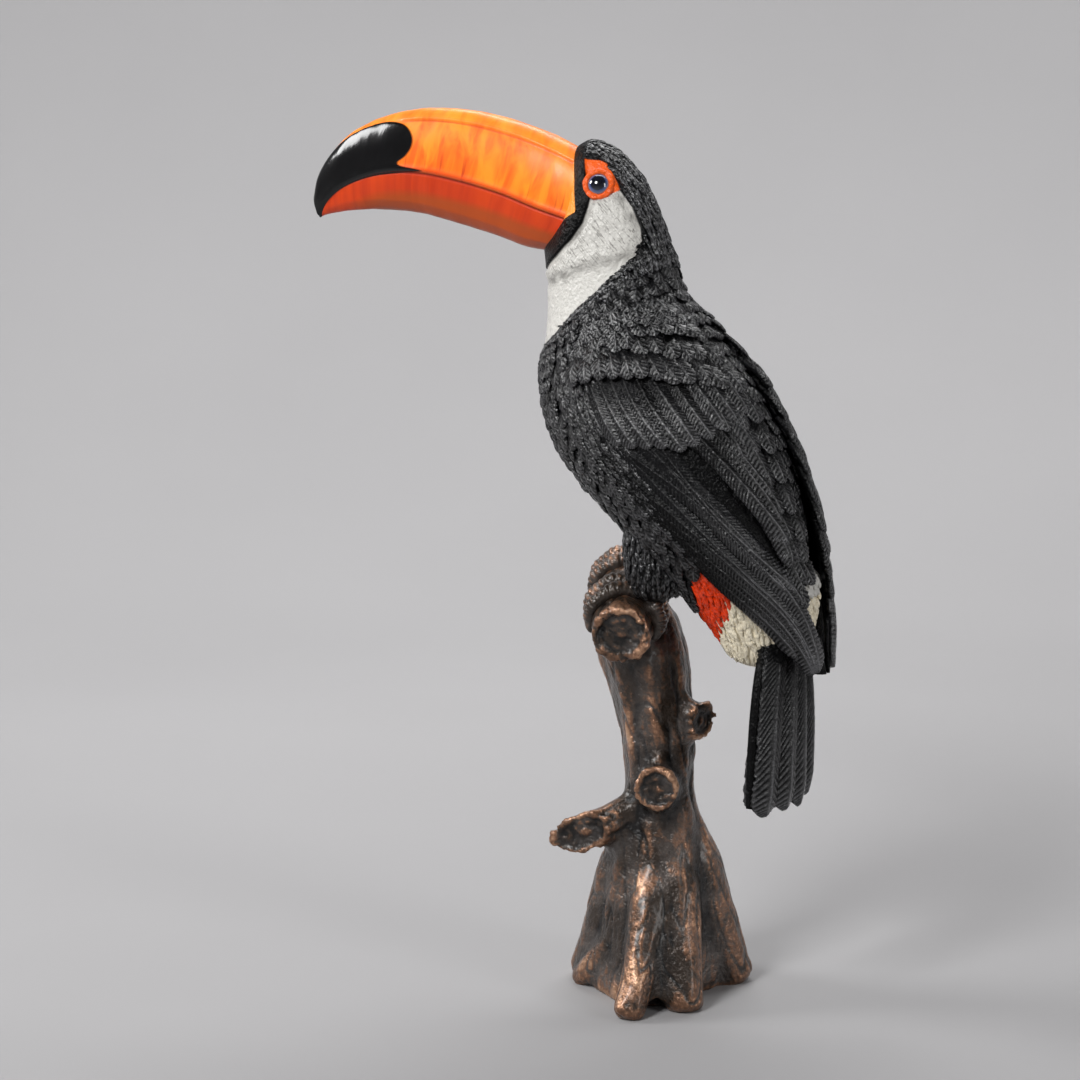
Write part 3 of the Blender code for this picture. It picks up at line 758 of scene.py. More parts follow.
class Finish:
    """A painted finish. It makes its material once."""

    name: str = ""

    def material(self) -> bpy.types.Material:
        """Returns the material, which is made when first asked for."""
        made = bpy.data.materials.get(self.name)
        if made is None:
            made = bpy.data.materials.new(self.name)
            made.use_nodes = True
            made.node_tree.nodes.clear()
            shader = self.mix(made.node_tree)
            add_node(made.node_tree, "OutputMaterial", {}, {"Surface": shader.outputs[0]})
        return made

    def mix(self, tree: bpy.types.NodeTree) -> bpy.types.Node:
        """Builds the nodes and returns the shader."""
        raise NotImplementedError

    def dress(self, piece: bpy.types.Object) -> None:
        """Gives a piece this finish alone."""
        piece.data.materials.clear()
        piece.data.materials.append(self.material())


@dataclass(frozen=True)
class PlumagePaint(Finish):
    """Satin black acrylic on cast resin, dry-brushed grey on raised barbs, painted shade in the cuts."""

    name: str = "satin_black_acrylic_on_resin"
    # Painted shade: the blacker black in the cuts and at the tucked-in roots.
    groove_shade: str = "#010101"
    black: str = "#080809"
    brushed: str = "#737378"
    white: str = "#cbc9c3"
    # Grey of the throat's strokes and of the painted shade along the cheek's edge.
    white_wash: str = "#6f6c67"
    cream: str = "#f8f1df"
    red: str = "#ee4710"
    skin: str = "#f4661c"
    orange: str = "#f08a26"
    cream_shade: str = "#e6d8b6"
    red_shade: str = "#c22806"
    skin_shade: str = "#dd500f"
    orange_light: str = "#f4a340"
    painted: bool = False

    def mix(self, tree: bpy.types.NodeTree) -> bpy.types.Node:
        """Builds the nodes: black paint with painted shade in the cuts, then the coloured areas over it."""
        coords = add_node(tree, "TexCoord").outputs["Object"]
        ridge, tone = (add_node(tree, "Attribute", {"attribute_name": name}).outputs["Fac"]
                       for name in ("ridge", "tone"))
        patch = add_node(tree, "TexNoise", {"Scale": 55.0, "Detail": 3.0}, {"Vector": coords})
        grain = add_node(tree, "TexNoise", {"Scale": 620.0, "Detail": 3.0}, {"Vector": coords})
        # Painted shade: where the barbs sink and where a root lies under the row above, the black turns
        # blacker.
        dark = add_node(tree, "Mix", {"data_type": "RGBA", 6: self.groove_shade, 7: self.black},
                        {0: ridge}).outputs[2]
        rubbed = add_node(tree, "MapRange", {"From Min": 0.68, "From Max": 1.1, "To Max": 0.9},
                          {"Value": ridge})
        uneven = add_node(tree, "Math", {"operation": "MULTIPLY"},
                          {0: rubbed.outputs[0], 1: patch.outputs["Fac"]})
        varied = add_node(tree, "Math", {"operation": "MULTIPLY_ADD", 1: 0.04},
                          {0: tone, 2: uneven.outputs[0]})
        shade = add_node(tree, "Mix", {"data_type": "RGBA", 7: self.brushed},
                         {0: varied.outputs[0], 6: dark}).outputs[2]
        if self.painted:
            shade = self.paint_areas(tree, shade, coords, patch.outputs["Fac"])
        gloss = add_node(tree, "MapRange", {"To Min": 0.22, "To Max": 0.42},
                         {"Value": patch.outputs["Fac"]})
        swell = add_node(tree, "TexNoise", {"Scale": 230.0, "Detail": 2.0}, {"Vector": coords})
        dents = add_node(tree, "Bump", {"Strength": 0.8, "Distance": 0.0016},
                         {"Height": swell.outputs["Fac"]})
        bump = add_node(tree, "Bump", {"Strength": 1.0, "Distance": 0.0009},
                        {"Height": grain.outputs["Fac"], "Normal": dents.outputs[0]})
        # The satin varnish was wiped over what stands up and missed the cuts, which stay dull and black.
        varnish = add_node(tree, "MapRange", {"From Min": 0.15, "From Max": 0.75}, {"Value": ridge})
        return add_node(tree, "BsdfPrincipled",
                        {"Specular IOR Level": 0.10, "Coat Roughness": 0.30,
                         "Coat IOR": 1.45 if self.painted else 1.75},
                        {"Base Color": shade, "Roughness": gloss.outputs[0], "Normal": bump.outputs[0],
                         "Coat Weight": varnish.outputs[0], "Coat Normal": bump.outputs[0]})

    def paint_areas(
        self,
        tree: bpy.types.NodeTree,
        shade: bpy.types.NodeSocket,
        coords: bpy.types.NodeSocket,
        patch: bpy.types.NodeSocket,
    ) -> bpy.types.NodeSocket:
        """Paints the white, cream, red and orange areas over the black.

        Args:
            tree: The material's nodes.
            shade: The black paint's colour.
            coords: Places on the object.
            patch: Broad uneven values.

        Returns:
            The colour with the areas painted.
        """
        # Short grey strokes in the white throat, 1 mm wide and 7 mm long, that lean back.
        slant = {"Rotation": (math.radians(42), 0, 0), "Scale": (1 / 800, 1 / 1150, 1 / 150)}
        lean = add_node(tree, "Mapping", {"vector_type": "TEXTURE", **slant}, {"Vector": coords})
        strokes = add_node(tree, "TexNoise", {"Scale": 1.0, "Detail": 2.0, "Roughness": 0.6},
                           {"Vector": lean.outputs[0]}).outputs["Fac"]
        inked = add_node(tree, "MapRange", {"From Min": 0.53, "From Max": 0.66, "To Max": 0.85},
                         {"Value": strokes})
        # Painted shade: a grey band along the raised cheek's edge, where its shadow falls on the white.
        wash, stroke = (add_node(tree, "Attribute", {"attribute_name": name}).outputs["Fac"]
                        for name in ("wash", "stroke"))
        drawn = add_node(tree, "Math", {"operation": "MULTIPLY"}, {0: inked.outputs[0], 1: stroke})
        # The grey goes where strokes are drawn and where the cheek's shade is painted.
        washed = add_node(tree, "Math", {"operation": "MAXIMUM"}, {0: drawn.outputs[0], 1: wash})
        blends = (
            (self.white, self.white_wash, washed.outputs[0]),
            (self.cream_shade, self.cream, strokes),
            (self.red_shade, self.red, strokes),
            (self.skin_shade, self.skin, patch),
            (self.orange_light, self.orange, patch),
        )
        white, cream, red, skin, orange = (
            add_node(tree, "Mix", {"data_type": "RGBA", 6: first, 7: second}, {0: share}).outputs[2]
            for first, second, share in blends
        )
        layers = (
            (Area.BIB, white), (Area.RUMP, white), (Area.CREAM, cream), (Area.RED, red),
            (Area.ORBIT, skin), (Area.BILL_ROOT, orange),
        )
        for area, colour in layers:
            depth = add_node(tree, "Attribute", {"attribute_name": area.value}).outputs["Fac"]
            edge = add_node(tree, "MapRange", {"From Min": -0.25, "From Max": 0.25}, {"Value": depth})
            shade = add_node(tree, "Mix", {"data_type": "RGBA"},
                             {0: edge.outputs[0], 6: shade, 7: colour}).outputs[2]
        return shade


@dataclass(frozen=True)
class BillEnamel(Finish):
    """Glossy hand-blended orange enamel, with a lacquered black tip."""

    name: str = "glossy_orange_enamel_on_resin"
    yellow: str = "#fb8f1e"
    orange: str = "#ee6210"
    red: str = "#bb3106"
    # Browner underside of the lower jaw: partly its paint, partly painted shade where it faces down.
    brown: str = "#a04a10"
    black: str = "#0c0c0d"
    drip: str = "#c23a08"
    # Lighter yellow on the top plate: partly the bill's paint, partly a painted highlight from the light
    # above.
    plate: str = "#ff9d3a"
    # Painted shade: a darker red line in the crease under the top plate's edge.
    crease: str = "#c23c0c"
    jaw: str = "#cf3f08"
    lip: str = "#e2480e"
    line: str = "#7c1706"

    def mix(self, tree: bpy.types.NodeTree) -> bpy.types.Node:
        """Builds the nodes from the bill's own marks: place, height on the side and nail."""
        # Millimetres along the bill, down its side and below the mouth line are fore, fall and jaw;
        # nail is the depth inside the black tip, and the others are shares from 0 to 1.
        marks = {
            name: add_node(tree, "Attribute", {"attribute_name": name}).outputs["Fac"]
            for name in ("fore", "fall", "nail", "lip", "line", "jaw", "plate", "crease")
        }
        coords = add_node(tree, "TexCoord").outputs["Object"]
        # Brush strokes that run down the sides: 9 mm from one to the next and 33 mm long.
        strip = add_node(tree, "CombineXYZ", {}, {0: marks["fore"], 1: marks["fall"]})
        spread = add_node(tree, "Mapping", {"Scale": (0.11, 0.03, 1)}, {"Vector": strip.outputs[0]})
        brush = add_node(tree, "TexNoise",
                         {"Scale": 1.0, "Detail": 3.0, "Roughness": 0.55, "Distortion": 0.6},
                         {"Vector": spread.outputs[0]})
        cloud = add_node(tree, "TexNoise", {"Scale": 60.0, "Detail": 2.0}, {"Vector": coords})
        streak = add_node(tree, "MapRange", {"From Min": 0.38, "From Max": 0.66},
                          {"Value": brush.outputs["Fac"]}).outputs[0]
        upper = add_node(tree, "Mix", {"data_type": "RGBA", 6: self.yellow, 7: self.orange},
                         {0: streak}).outputs[2]
        # Thin drips of red, 3 mm apart, that gather above the mouth line.
        thin = add_node(tree, "Mapping", {"Scale": (0.34, 0.015, 1)}, {"Vector": strip.outputs[0]})
        runs = add_node(tree, "TexNoise", {"Scale": 1.0, "Detail": 1.0, "Distortion": 0.3},
                        {"Vector": thin.outputs[0]})
        drips = add_node(tree, "MapRange", {"From Min": 0.60, "From Max": 0.70},
                         {"Value": runs.outputs["Fac"]})
        above = add_node(tree, "MapRange", {"From Min": -17.0, "From Max": -5.0, "To Max": 0.85},
                         {"Value": marks["jaw"]})
        dripped = add_node(tree, "Math", {"operation": "MULTIPLY"},
                           {0: drips.outputs[0], 1: above.outputs[0]})
        # Red drips, the lighter top plate, partly a painted highlight, and the crease, which is painted
        # shade.
        coats = (
            (dripped.outputs[0], self.drip), (marks["plate"], self.plate), (marks["crease"], self.crease)
        )
        for cover, colour in coats:
            upper = add_node(tree, "Mix", {"data_type": "RGBA", 7: colour}, {0: cover, 6: upper}).outputs[2]
        lower = add_node(tree, "Mix", {"data_type": "RGBA", 6: self.jaw, 7: self.red},
                         {0: streak}).outputs[2]
        # Browner below the facet: partly the jaw's paint, partly painted shade on the underside.
        keel = add_node(tree, "MapRange", {"From Min": 9.0, "From Max": 13.0, "To Max": 0.7},
                        {"Value": marks["jaw"]})
        lower = add_node(tree, "Mix", {"data_type": "RGBA", 7: self.brown},
                         {0: keel.outputs[0], 6: lower}).outputs[2]
        side = add_node(tree, "MapRange", {"From Min": -0.4, "From Max": 0.4}, {"Value": marks["jaw"]})
        shade = add_node(tree, "Mix", {"data_type": "RGBA"},
                         {0: side.outputs[0], 6: upper, 7: lower}).outputs[2]
        edge = add_node(tree, "MapRange", {"From Min": -0.25, "From Max": 0.25}, {"Value": marks["nail"]})
        coats = ((marks["lip"], self.lip), (marks["line"], self.line), (edge.outputs[0], self.black))
        for cover, colour in coats:
            shade = add_node(tree, "Mix", {"data_type": "RGBA", 7: colour}, {0: cover, 6: shade}).outputs[2]
        satin = add_node(tree, "MapRange", {"To Min": 0.30, "To Max": 0.46},
                         {"Value": cloud.outputs["Fac"]})
        gloss = add_node(tree, "Mix", {"data_type": "FLOAT", 3: 0.14},
                         {0: edge.outputs[0], 2: satin.outputs[0]})
        bump = add_node(tree, "Bump", {"Strength": 0.25, "Distance": 0.0006},
                        {"Height": brush.outputs["Fac"]})
        return add_node(tree, "BsdfPrincipled",
                        {"Coat Weight": 0.06, "Coat Roughness": 0.15, "Specular IOR Level": 0.34},
                        {"Base Color": shade, "Roughness": gloss.outputs[0], "Normal": bump.outputs[0]})


@dataclass(frozen=True)
class EyeEnamel(Finish):
    """A painted resin dome under thick clear lacquer: it gives one sharp highlight."""

    name: str = "lacquered_painted_dome"

    def mix(self, tree: bpy.types.NodeTree) -> bpy.types.Node:
        """Builds the nodes: pupil, blue-grey ring and dark rim by the angle from the middle."""
        off = add_node(tree, "Attribute", {"attribute_name": "off_axis"}).outputs["Fac"]
        scale = add_node(tree, "Math", {"operation": "DIVIDE", 1: 90.0}, {0: off})
        ramp = add_node(tree, "ValToRGB", {}, {0: scale.outputs[0]})
        stops = ((0.0, "#03040a"), (0.40, "#060a1c"), (0.45, "#2b3f6e"), (0.53, "#4d6288"),
                 (0.61, "#7a879c"), (0.67, "#34384a"), (0.74, "#120f14"))
        bands = ramp.color_ramp.elements
        bands[0].position, bands[0].color = stops[0][0], hex_colour(stops[0][1])
        bands[1].position, bands[1].color = stops[-1][0], hex_colour(stops[-1][1])
        for position, code in stops[1:-1]:
            bands.new(position).color = hex_colour(code)
        return add_node(tree, "BsdfPrincipled",
                        {"Roughness": 0.12, "Coat Weight": 1.0, "Coat Roughness": 0.03},
                        {"Base Color": ramp.outputs[0]})


@dataclass(frozen=True)
class BronzedResin(Finish):
    """Cast resin stained dark brown, copper bronze rubbed over what stands up, and a painted grey sheen."""

    name: str = "bronzed_cast_resin"
    deep: str = "#0b0807"
    brown: str = "#33281f"
    # Painted sheen: the silvery shine of the bronze paint, laid as grey in broad patches.
    grey: str = "#857c77"
    copper: str = "#91694f"
    bright: str = "#cda384"

    def mix(self, tree: bpy.types.NodeTree) -> bpy.types.Node:
        """Builds the nodes: stain, painted grey sheen, then copper by wear."""
        coords = add_node(tree, "TexCoord").outputs["Object"]
        wear = add_node(tree, "Attribute", {"attribute_name": "wear"}).outputs["Fac"]
        broad = add_node(tree, "TexNoise", {"Scale": 38.0, "Detail": 4.0}, {"Vector": coords})
        speck = add_node(tree, "TexNoise", {"Scale": 420.0, "Detail": 3.0}, {"Vector": coords})
        fine = add_node(tree, "TexNoise", {"Scale": 1100.0, "Detail": 2.0}, {"Vector": coords})
        hollow = add_node(tree, "MapRange", {"From Min": 0.12, "From Max": 0.48}, {"Value": wear})
        shade = add_node(tree, "Mix", {"data_type": "RGBA", 6: self.deep, 7: self.brown},
                         {0: hollow.outputs[0]}).outputs[2]
        # Painted sheen: broad patches of grey stand in for the shine of the bronze paint.
        grey_sheen = add_node(tree, "MapRange", {"From Min": 0.44, "From Max": 0.72, "To Max": 0.52},
                         {"Value": broad.outputs["Fac"]})
        amount = add_node(tree, "Math", {"operation": "MULTIPLY_ADD", 1: 0.8},
                          {0: speck.outputs["Fac"], 2: wear})
        spread = add_node(tree, "Math", {"operation": "MULTIPLY_ADD", 1: 1.5},
                          {0: broad.outputs["Fac"], 2: amount.outputs[0]})
        rubbed, worn = (
            add_node(tree, "MapRange", {"From Min": low, "From Max": high},
                     {"Value": spread.outputs[0]}).outputs[0]
            for low, high in ((1.70, 2.16), (2.05, 2.40))
        )
        for cover, colour in ((grey_sheen.outputs[0], self.grey), (rubbed, self.copper), (worn, self.bright)):
            shade = add_node(tree, "Mix", {"data_type": "RGBA", 7: colour}, {0: cover, 6: shade}).outputs[2]
        metal = add_node(tree, "MapRange", {"To Min": 0.35, "To Max": 0.75}, {"Value": rubbed})
        gloss = add_node(tree, "MapRange", {"To Min": 0.22, "To Max": 0.46},
                         {"Value": speck.outputs["Fac"]})
        swell = add_node(tree, "TexNoise", {"Scale": 170.0, "Detail": 2.0}, {"Vector": coords})
        dents = add_node(tree, "Bump", {"Strength": 0.7, "Distance": 0.0024},
                         {"Height": swell.outputs["Fac"]})
        bump = add_node(tree, "Bump", {"Strength": 0.5, "Distance": 0.0004},
                        {"Height": fine.outputs["Fac"], "Normal": dents.outputs[0]})
        rough = add_node(tree, "Bump", {"Strength": 0.8, "Distance": 0.0013},
                         {"Height": speck.outputs["Fac"], "Normal": bump.outputs[0]})
        return add_node(tree, "BsdfPrincipled", {"Coat Weight": 0.35, "Coat Roughness": 0.22},
                        {"Base Color": shade, "Roughness": gloss.outputs[0], "Metallic": metal.outputs[0],
                         "Normal": rough.outputs[0]})


@dataclass(frozen=True)
class StudioPaper(Finish):
    """Matt pale grey background paper, which gives a soft shadow and no shine."""

    name: str = "matt_grey_paper"
    grey: str = "#a09fa0"
    shade: str = "#9b9a9b"

    def mix(self, tree: bpy.types.NodeTree) -> bpy.types.Node:
        """Builds the nodes: an even grey with a faint cloudiness."""
        coords = add_node(tree, "TexCoord").outputs["Object"]
        cloud = add_node(tree, "TexNoise", {"Scale": 3.0}, {"Vector": coords})
        shade = add_node(tree, "Mix", {"data_type": "RGBA", 6: self.shade, 7: self.grey},
                         {0: cloud.outputs["Fac"]}).outputs[2]
        return add_node(tree, "BsdfPrincipled", {"Roughness": 0.9, "Specular IOR Level": 0.1},
                        {"Base Color": shade})


@dataclass
class Bird:
    """The toucan's head, eyes, body and legs."""

    body: BodyChart = field(default_factory=BodyChart)
    seed: int = 7
    black: PlumagePaint = field(default_factory=PlumagePaint)
    painted: PlumagePaint = field(
        default_factory=lambda: PlumagePaint(name="satin_acrylic_areas_on_resin", painted=True)
    )

    def eye(self) -> tuple[np.ndarray, np.ndarray]:
        """The middle of the left eye and the direction in which it looks."""
        point, _, _, normal = self.body.frame(np.array(2.1), np.array(math.radians(50)))
        return point - normal * EYE_DEPTH, normal

    def form(self) -> bpy.types.Object:
        """The smooth head, throat and body under the feathers.

        Returns:
            The piece that stands for the bird's solid.
        """
        along = np.concatenate((np.arange(0, 5.8, 0.05), np.arange(5.8, 15.01, 0.16)))
        around = np.linspace(-math.pi, math.pi, 193)[:-1]
        p, a = np.meshgrid(along, around, indexing="ij")
        base, _, _, normal = self.body.frame(p, a)
        y, z = base[..., 1], base[..., 2]
        band = inside_distance(BAND, y, z)
        cheek = inside_distance(CHEEK, y, z)
        bib = inside_distance(BIB, y, z)
        orbit = inside_distance(ORBIT, y, z)
        high = 1.5 * smooth_step(band, -0.3, 0.9)
        high += 1.6 * smooth_step(cheek, -0.8, 6.0) * smooth_step(bib, -0.5, 3.5)
        high -= 0.5 * smooth_step(bib, -0.6, 0.6) * (1 - smooth_step(cheek, -0.8, 4.0))
        high += 0.6 * smooth_step(orbit, -0.4, 1.2)
        grain = np.stack((base[..., 0] * 0.6, (y * 0.8 + z * 0.6) * 0.75, (z * 0.8 - y * 0.6) * 0.16), -1)
        high += 0.42 * layered_noise(grain, 3, 2) * smooth_step(bib, 0, 2)
        high += 0.22 * layered_noise(base * 0.35, 8) * (p > 5.6)
        points = base + normal * high[..., None]
        poles = points[0].mean(0) + (0, 8, 0), points[-1].mean(0) + (0, 0, -2)
        cloud = smooth_step(layered_noise(base * 0.2, 5), -0.6, 0.8)
        # Painted shade: a grey band along the edge of the raised cheek, where its shadow falls on the white
        # throat.
        wash = 0.75 * smooth_step(-np.abs(cheek - 1.0), -7, 0) * cloud
        stroke = 0.18 + 0.72 * smooth_step(cheek, -1.0, 5.0)
        ridge = 0.5 - 0.45 * smooth_step(band, -0.5, 0.5)
        shell = Shell()
        shell.add_skin(points, poles=poles, ridge=ridge, tone=ridge, wash=wash, stroke=stroke,
                       **area_marks(base))
        return shell.build("head_and_body", self.painted)

    def spread(
        self, rows: Sequence[float], gap: float, shift: float, rng: np.random.Generator
    ) -> tuple[np.ndarray, np.ndarray]:
        """Places around the body in staggered rows.

        Args:
            rows: Section numbers of the rows.
            gap: Millimetres from one place to the next along a row.
            shift: How unevenly they stand, as a share of the gap.
            rng: Source of the unevenness.

        Returns:
            Section numbers and angles.
        """
        places, angles = [], []
        for number, row in enumerate(rows):
            turn = np.linspace(-math.pi, math.pi, 181)
            line = self.body.place(np.full(turn.shape, row), turn)
            run = run_along(line)
            count = max(6, round(run[-1] / gap))
            stations = (np.arange(count) + 0.5 * (number % 2)) / count * run[-1]
            stations += rng.normal(0, shift * gap, count)
            angles.append(np.interp(stations % run[-1], run, turn))
            places.append(row + rng.normal(0, 0.02, count))
        return np.concatenate(places), np.concatenate(angles)

    def laid_back(
        self, p: np.ndarray, a: np.ndarray, length: np.ndarray, drift: np.ndarray, first: float = -math.inf
    ) -> tuple[np.ndarray, np.ndarray]:
        """Roots for feathers that point down the body.

        Args:
            p: Section numbers of the tips.
            a: Angles of the tips.
            length: Lengths in millimetres.
            drift: How far each turns sideways, as a share of its length.
            first: The lowest section number for a root.

        Returns:
            Chart coordinates of the roots and of the tips.
        """
        _, down, over, _ = self.body.frame(p, a)
        dp = np.maximum(-length / np.linalg.norm(down, axis=-1), first - p)
        da = length * drift / np.linalg.norm(over, axis=-1)
        return np.stack((p + dp, a - da), -1), np.stack((p, a), -1)

    @staticmethod
    def tinted(marks: dict[str, np.ndarray], margin: float) -> np.ndarray:
        """Which points lie in a coloured area behind the legs, or at most this far outside it."""
        return np.max([marks[area.value] for area in (Area.RED, Area.CREAM, Area.RUMP)], axis=0) > -margin

    def head_feathers(self) -> bpy.types.Object:
        """Narrow hair-like feathers on the cap and down the nape.

        Returns:
            The piece.
        """
        rng = np.random.default_rng(self.seed)
        p, a = self.spread(np.arange(0.62, 5.6, 0.25), 2.0, 0.3, rng)
        tip = self.body.place(p, a)
        y, z = tip[:, 1], tip[:, 2]
        clear = (inside_distance(BIB, y, z) < -0.8) & (inside_distance(ORBIT, y, z) < -1.2)
        clear &= (inside_distance(BAND, y, z) < 0.3) & (inside_distance(BILL_ROOT, y, z) < -1)
        clear &= np.abs(a) < math.radians(140)
        p, a = p[clear], a[clear]
        length = rng.uniform(10.0, 15.5, len(p))
        drift = rng.normal(0, 0.13, len(p)) - 0.10 * np.sign(a) * smooth_step(p, 1.0, 3.5)
        roots, tips = self.laid_back(p, a, length, drift, first=0.35)
        roots = self.clear_of_throat(roots, tips)
        shell = Shell()
        # First and last section of a zone, height of its tips, and camber.
        for first, last, lift, camber in ((0, 2.6, 0.55, 0.5), (2.6, 4.2, 0.95, 0.8), (4.2, 5.0, 1.5, 0.9),
                                          (5.0, 9, 2.6, 1.0)):
            cut = FeatherCut(barb=2.6, barb_depth=0.0, shaft=0.0, camber=camber, lift=lift, sink=0.4,
                             thick=1.2, end=2.2, ragged=0.06, lag=0.1, half=(0.0, 0.5, 1.0))
            part = (p >= first) & (p < last)
            wide = rng.uniform(1.8, 3.2, len(p))
            lay_feathers(shell, self.body, cut, roots[part], tips[part], wide[part], rng)
        return shell.build("head_feathers", self.black)

    def clear_of_throat(self, roots: np.ndarray, tips: np.ndarray) -> np.ndarray:
        """Shortens feathers whose roots would lie on the white throat.

        Args:
            roots: Chart coordinates of the roots.
            tips: Chart coordinates of the tips.

        Returns:
            The roots, moved towards the tips where need be.
        """
        moved = roots.copy()
        for share in (0.0, 0.2, 0.4, 0.6, 0.75):
            point = self.body.place(*moved.T)
            inside = inside_distance(BIB, point[:, 1], point[:, 2]) > -0.4
            moved[inside] = (roots + (tips - roots) * (share + 0.1))[inside]
        return moved

    def collar(self) -> bpy.types.Object:
        """Feathers that lie along the lower edge of the white throat.

        Returns:
            The piece.
        """
        rng = np.random.default_rng(self.seed + 1)
        # Angles from the spine along the edge of the throat, and the section at each.
        edge = np.radians((24, 29, 36, 45, 55, 65.5, 76.1, 88.1, 101.7, 118.2, 140, 165))
        place = np.array((4.72, 4.80, 4.86, 4.93, 5.02, 5.14, 5.29, 5.44, 5.58, 5.77, 6.02, 6.08))
        shell = Shell()
        for side, row in itertools.product((1, -1), (2, 1, 0)):
            share = np.linspace(0.06, 1.0, 20) + 0.02 * (row % 2)
            knots = np.linspace(0, 1, len(edge))
            a, p = np.interp(share, knots, edge), np.interp(share, knots, place)
            a0, p0 = np.interp(share - 0.16, knots, edge), np.interp(share - 0.16, knots, place)
            lower = 0.16 * row + rng.normal(0, 0.015, len(a))
            roots = np.stack((p0 + lower, a0 * side), -1)
            tips = np.stack((p + lower + 0.05, a * side), -1)
            cut = FeatherCut(barb=2.0, camber=0.7, lift=1.5 - 0.1 * row, sink=0.4, thick=1.3, end=1.2,
                             half=(0.0, 0.25, 0.65, 1.0))
            lay_feathers(shell, self.body, cut, roots, tips, rng.uniform(4.2, 5.6, len(a)), rng)
        return shell.build("collar_feathers", self.black)

    def scales(self) -> list[bpy.types.Object]:
        """Small overlapping feathers over the breast, back and belly.

        Returns:
            The pieces: black ones, and painted ones at the vent and rump.
        """
        rng = np.random.default_rng(self.seed + 2)
        p, a = self.spread(np.arange(5.35, 14.6, 0.31), 6.9, 0.25, rng)
        point = self.body.place(p, a)
        y, z = point[:, 1], point[:, 2]
        keep = (inside_distance(BIB, y, z) < -1.0) & ~self.under_wing(point)
        p, a = p[keep], a[keep]
        low = smooth_step(p, 11.2, 13.0)
        length = rng.uniform(10.0, 15.0, len(p)) * (1 + 0.2 * low)
        wide = rng.uniform(5.8, 9.4, len(p)) * (1 - 0.5 * low)
        back = smooth_step(-np.abs(a), -math.radians(105), -math.radians(60))
        wide = wide * (1 + 0.38 * back)
        length = length * (1 + 0.12 * back)
        roots, tips = self.laid_back(p, a, length, rng.normal(0, 0.20, len(p)))
        roots = self.clear_of_throat(roots, tips)
        tinted = self.tinted(area_marks(self.body.place(p, a)), 0.0)
        breast = np.abs(a) > math.radians(95)
        cut = FeatherCut(barb=2.0, barb_depth=0.42, camber=0.8, lift=2.3, thick=1.9, ragged=0.10,
                         end=0.8, half=(0.0, 0.2, 0.6, 1.0))
        pieces = []
        for name, part in (("back_feathers", ~breast & ~tinted), ("breast_feathers", breast & ~tinted)):
            shell = Shell()
            lay_feathers(shell, self.body, cut, roots[part], tips[part], wide[part], rng)
            pieces.append(shell.build(name, self.black))
        shell = Shell()
        lay_feathers(shell, self.body, DOWN, *self.strands(rng), rng, painted=True)
        return [*pieces, shell.build("vent_feathers", self.painted)]

    def strands(self, rng: np.random.Generator) -> tuple[np.ndarray, ...]:
        """Fine down over the painted vent and rump.

        Args:
            rng: Source of small irregularities.

        Returns:
            Roots, tips and widths of those that lie on the painted areas.
        """
        p, a = self.spread(np.arange(10.2, 14.9, 0.2), 2.9, 0.3, rng)
        length = rng.uniform(8.0, 12.0, len(p))
        roots, tips = self.laid_back(p, a, length, rng.normal(0, 0.12, len(p)))
        marks = area_marks(self.body.place(p, a))
        keep = self.tinted(marks, 0.5) & (marks[Area.RUMP.value] < -0.5)
        return roots[keep], tips[keep], rng.uniform(2.4, 3.6, len(p))[keep]

    def rump(self) -> bpy.types.Object:
        """The white tuft that stands up between the wings above the tail.

        Returns:
            The piece.
        """
        rng = np.random.default_rng(self.seed + 5)
        shell = Shell()
        # Height of the tips, first and last section, and half width in degrees.
        for lift, low, high, wide in ((3.5, 12.0, 13.7, 26), (6.5, 12.0, 13.4, 22), (9.5, 12.0, 13.1, 18)):
            p = rng.uniform(low, high, 70)
            a = np.radians(rng.uniform(-wide, wide, 70)) * (1 - 0.55 * (p - low) / (high - low))
            _, down, _, _ = self.body.frame(p, a)
            dp = -rng.uniform(10.0, 13.0, 70) / np.linalg.norm(down, axis=-1)
            cut = replace(DOWN, shaft=0.0, lift=lift, sink=0.5, thick=1.2)
            lay_feathers(shell, self.body, cut, np.stack((p + dp, a * 1.1), -1), np.stack((p, a), -1),
                         rng.uniform(2.2, 3.4, 70), rng, painted=True)
        shell.marks["rump"] = [np.full(len(values), FAR) for values in shell.marks["rump"]]
        return shell.build("rump_feathers", self.painted)

    def under_wing(self, points: np.ndarray) -> np.ndarray:
        """Whether points of the body lie well under a folded wing."""
        covered = np.zeros(len(points), bool)
        for side in (1.0, -1.0):
            chart = WingChart(side)
            p, s = np.meshgrid(np.linspace(0.5, 6.6, 50), np.linspace(0.14, 0.88, 26), indexing="ij")
            tree = KDTree(p.size)
            for number, place in enumerate(chart.place(p.ravel(), s.ravel())):
                tree.insert(Vector(place), number)
            tree.balance()
            near = np.array([tree.find(Vector(point))[2] for point in points])
            covered |= near < 9
        return covered

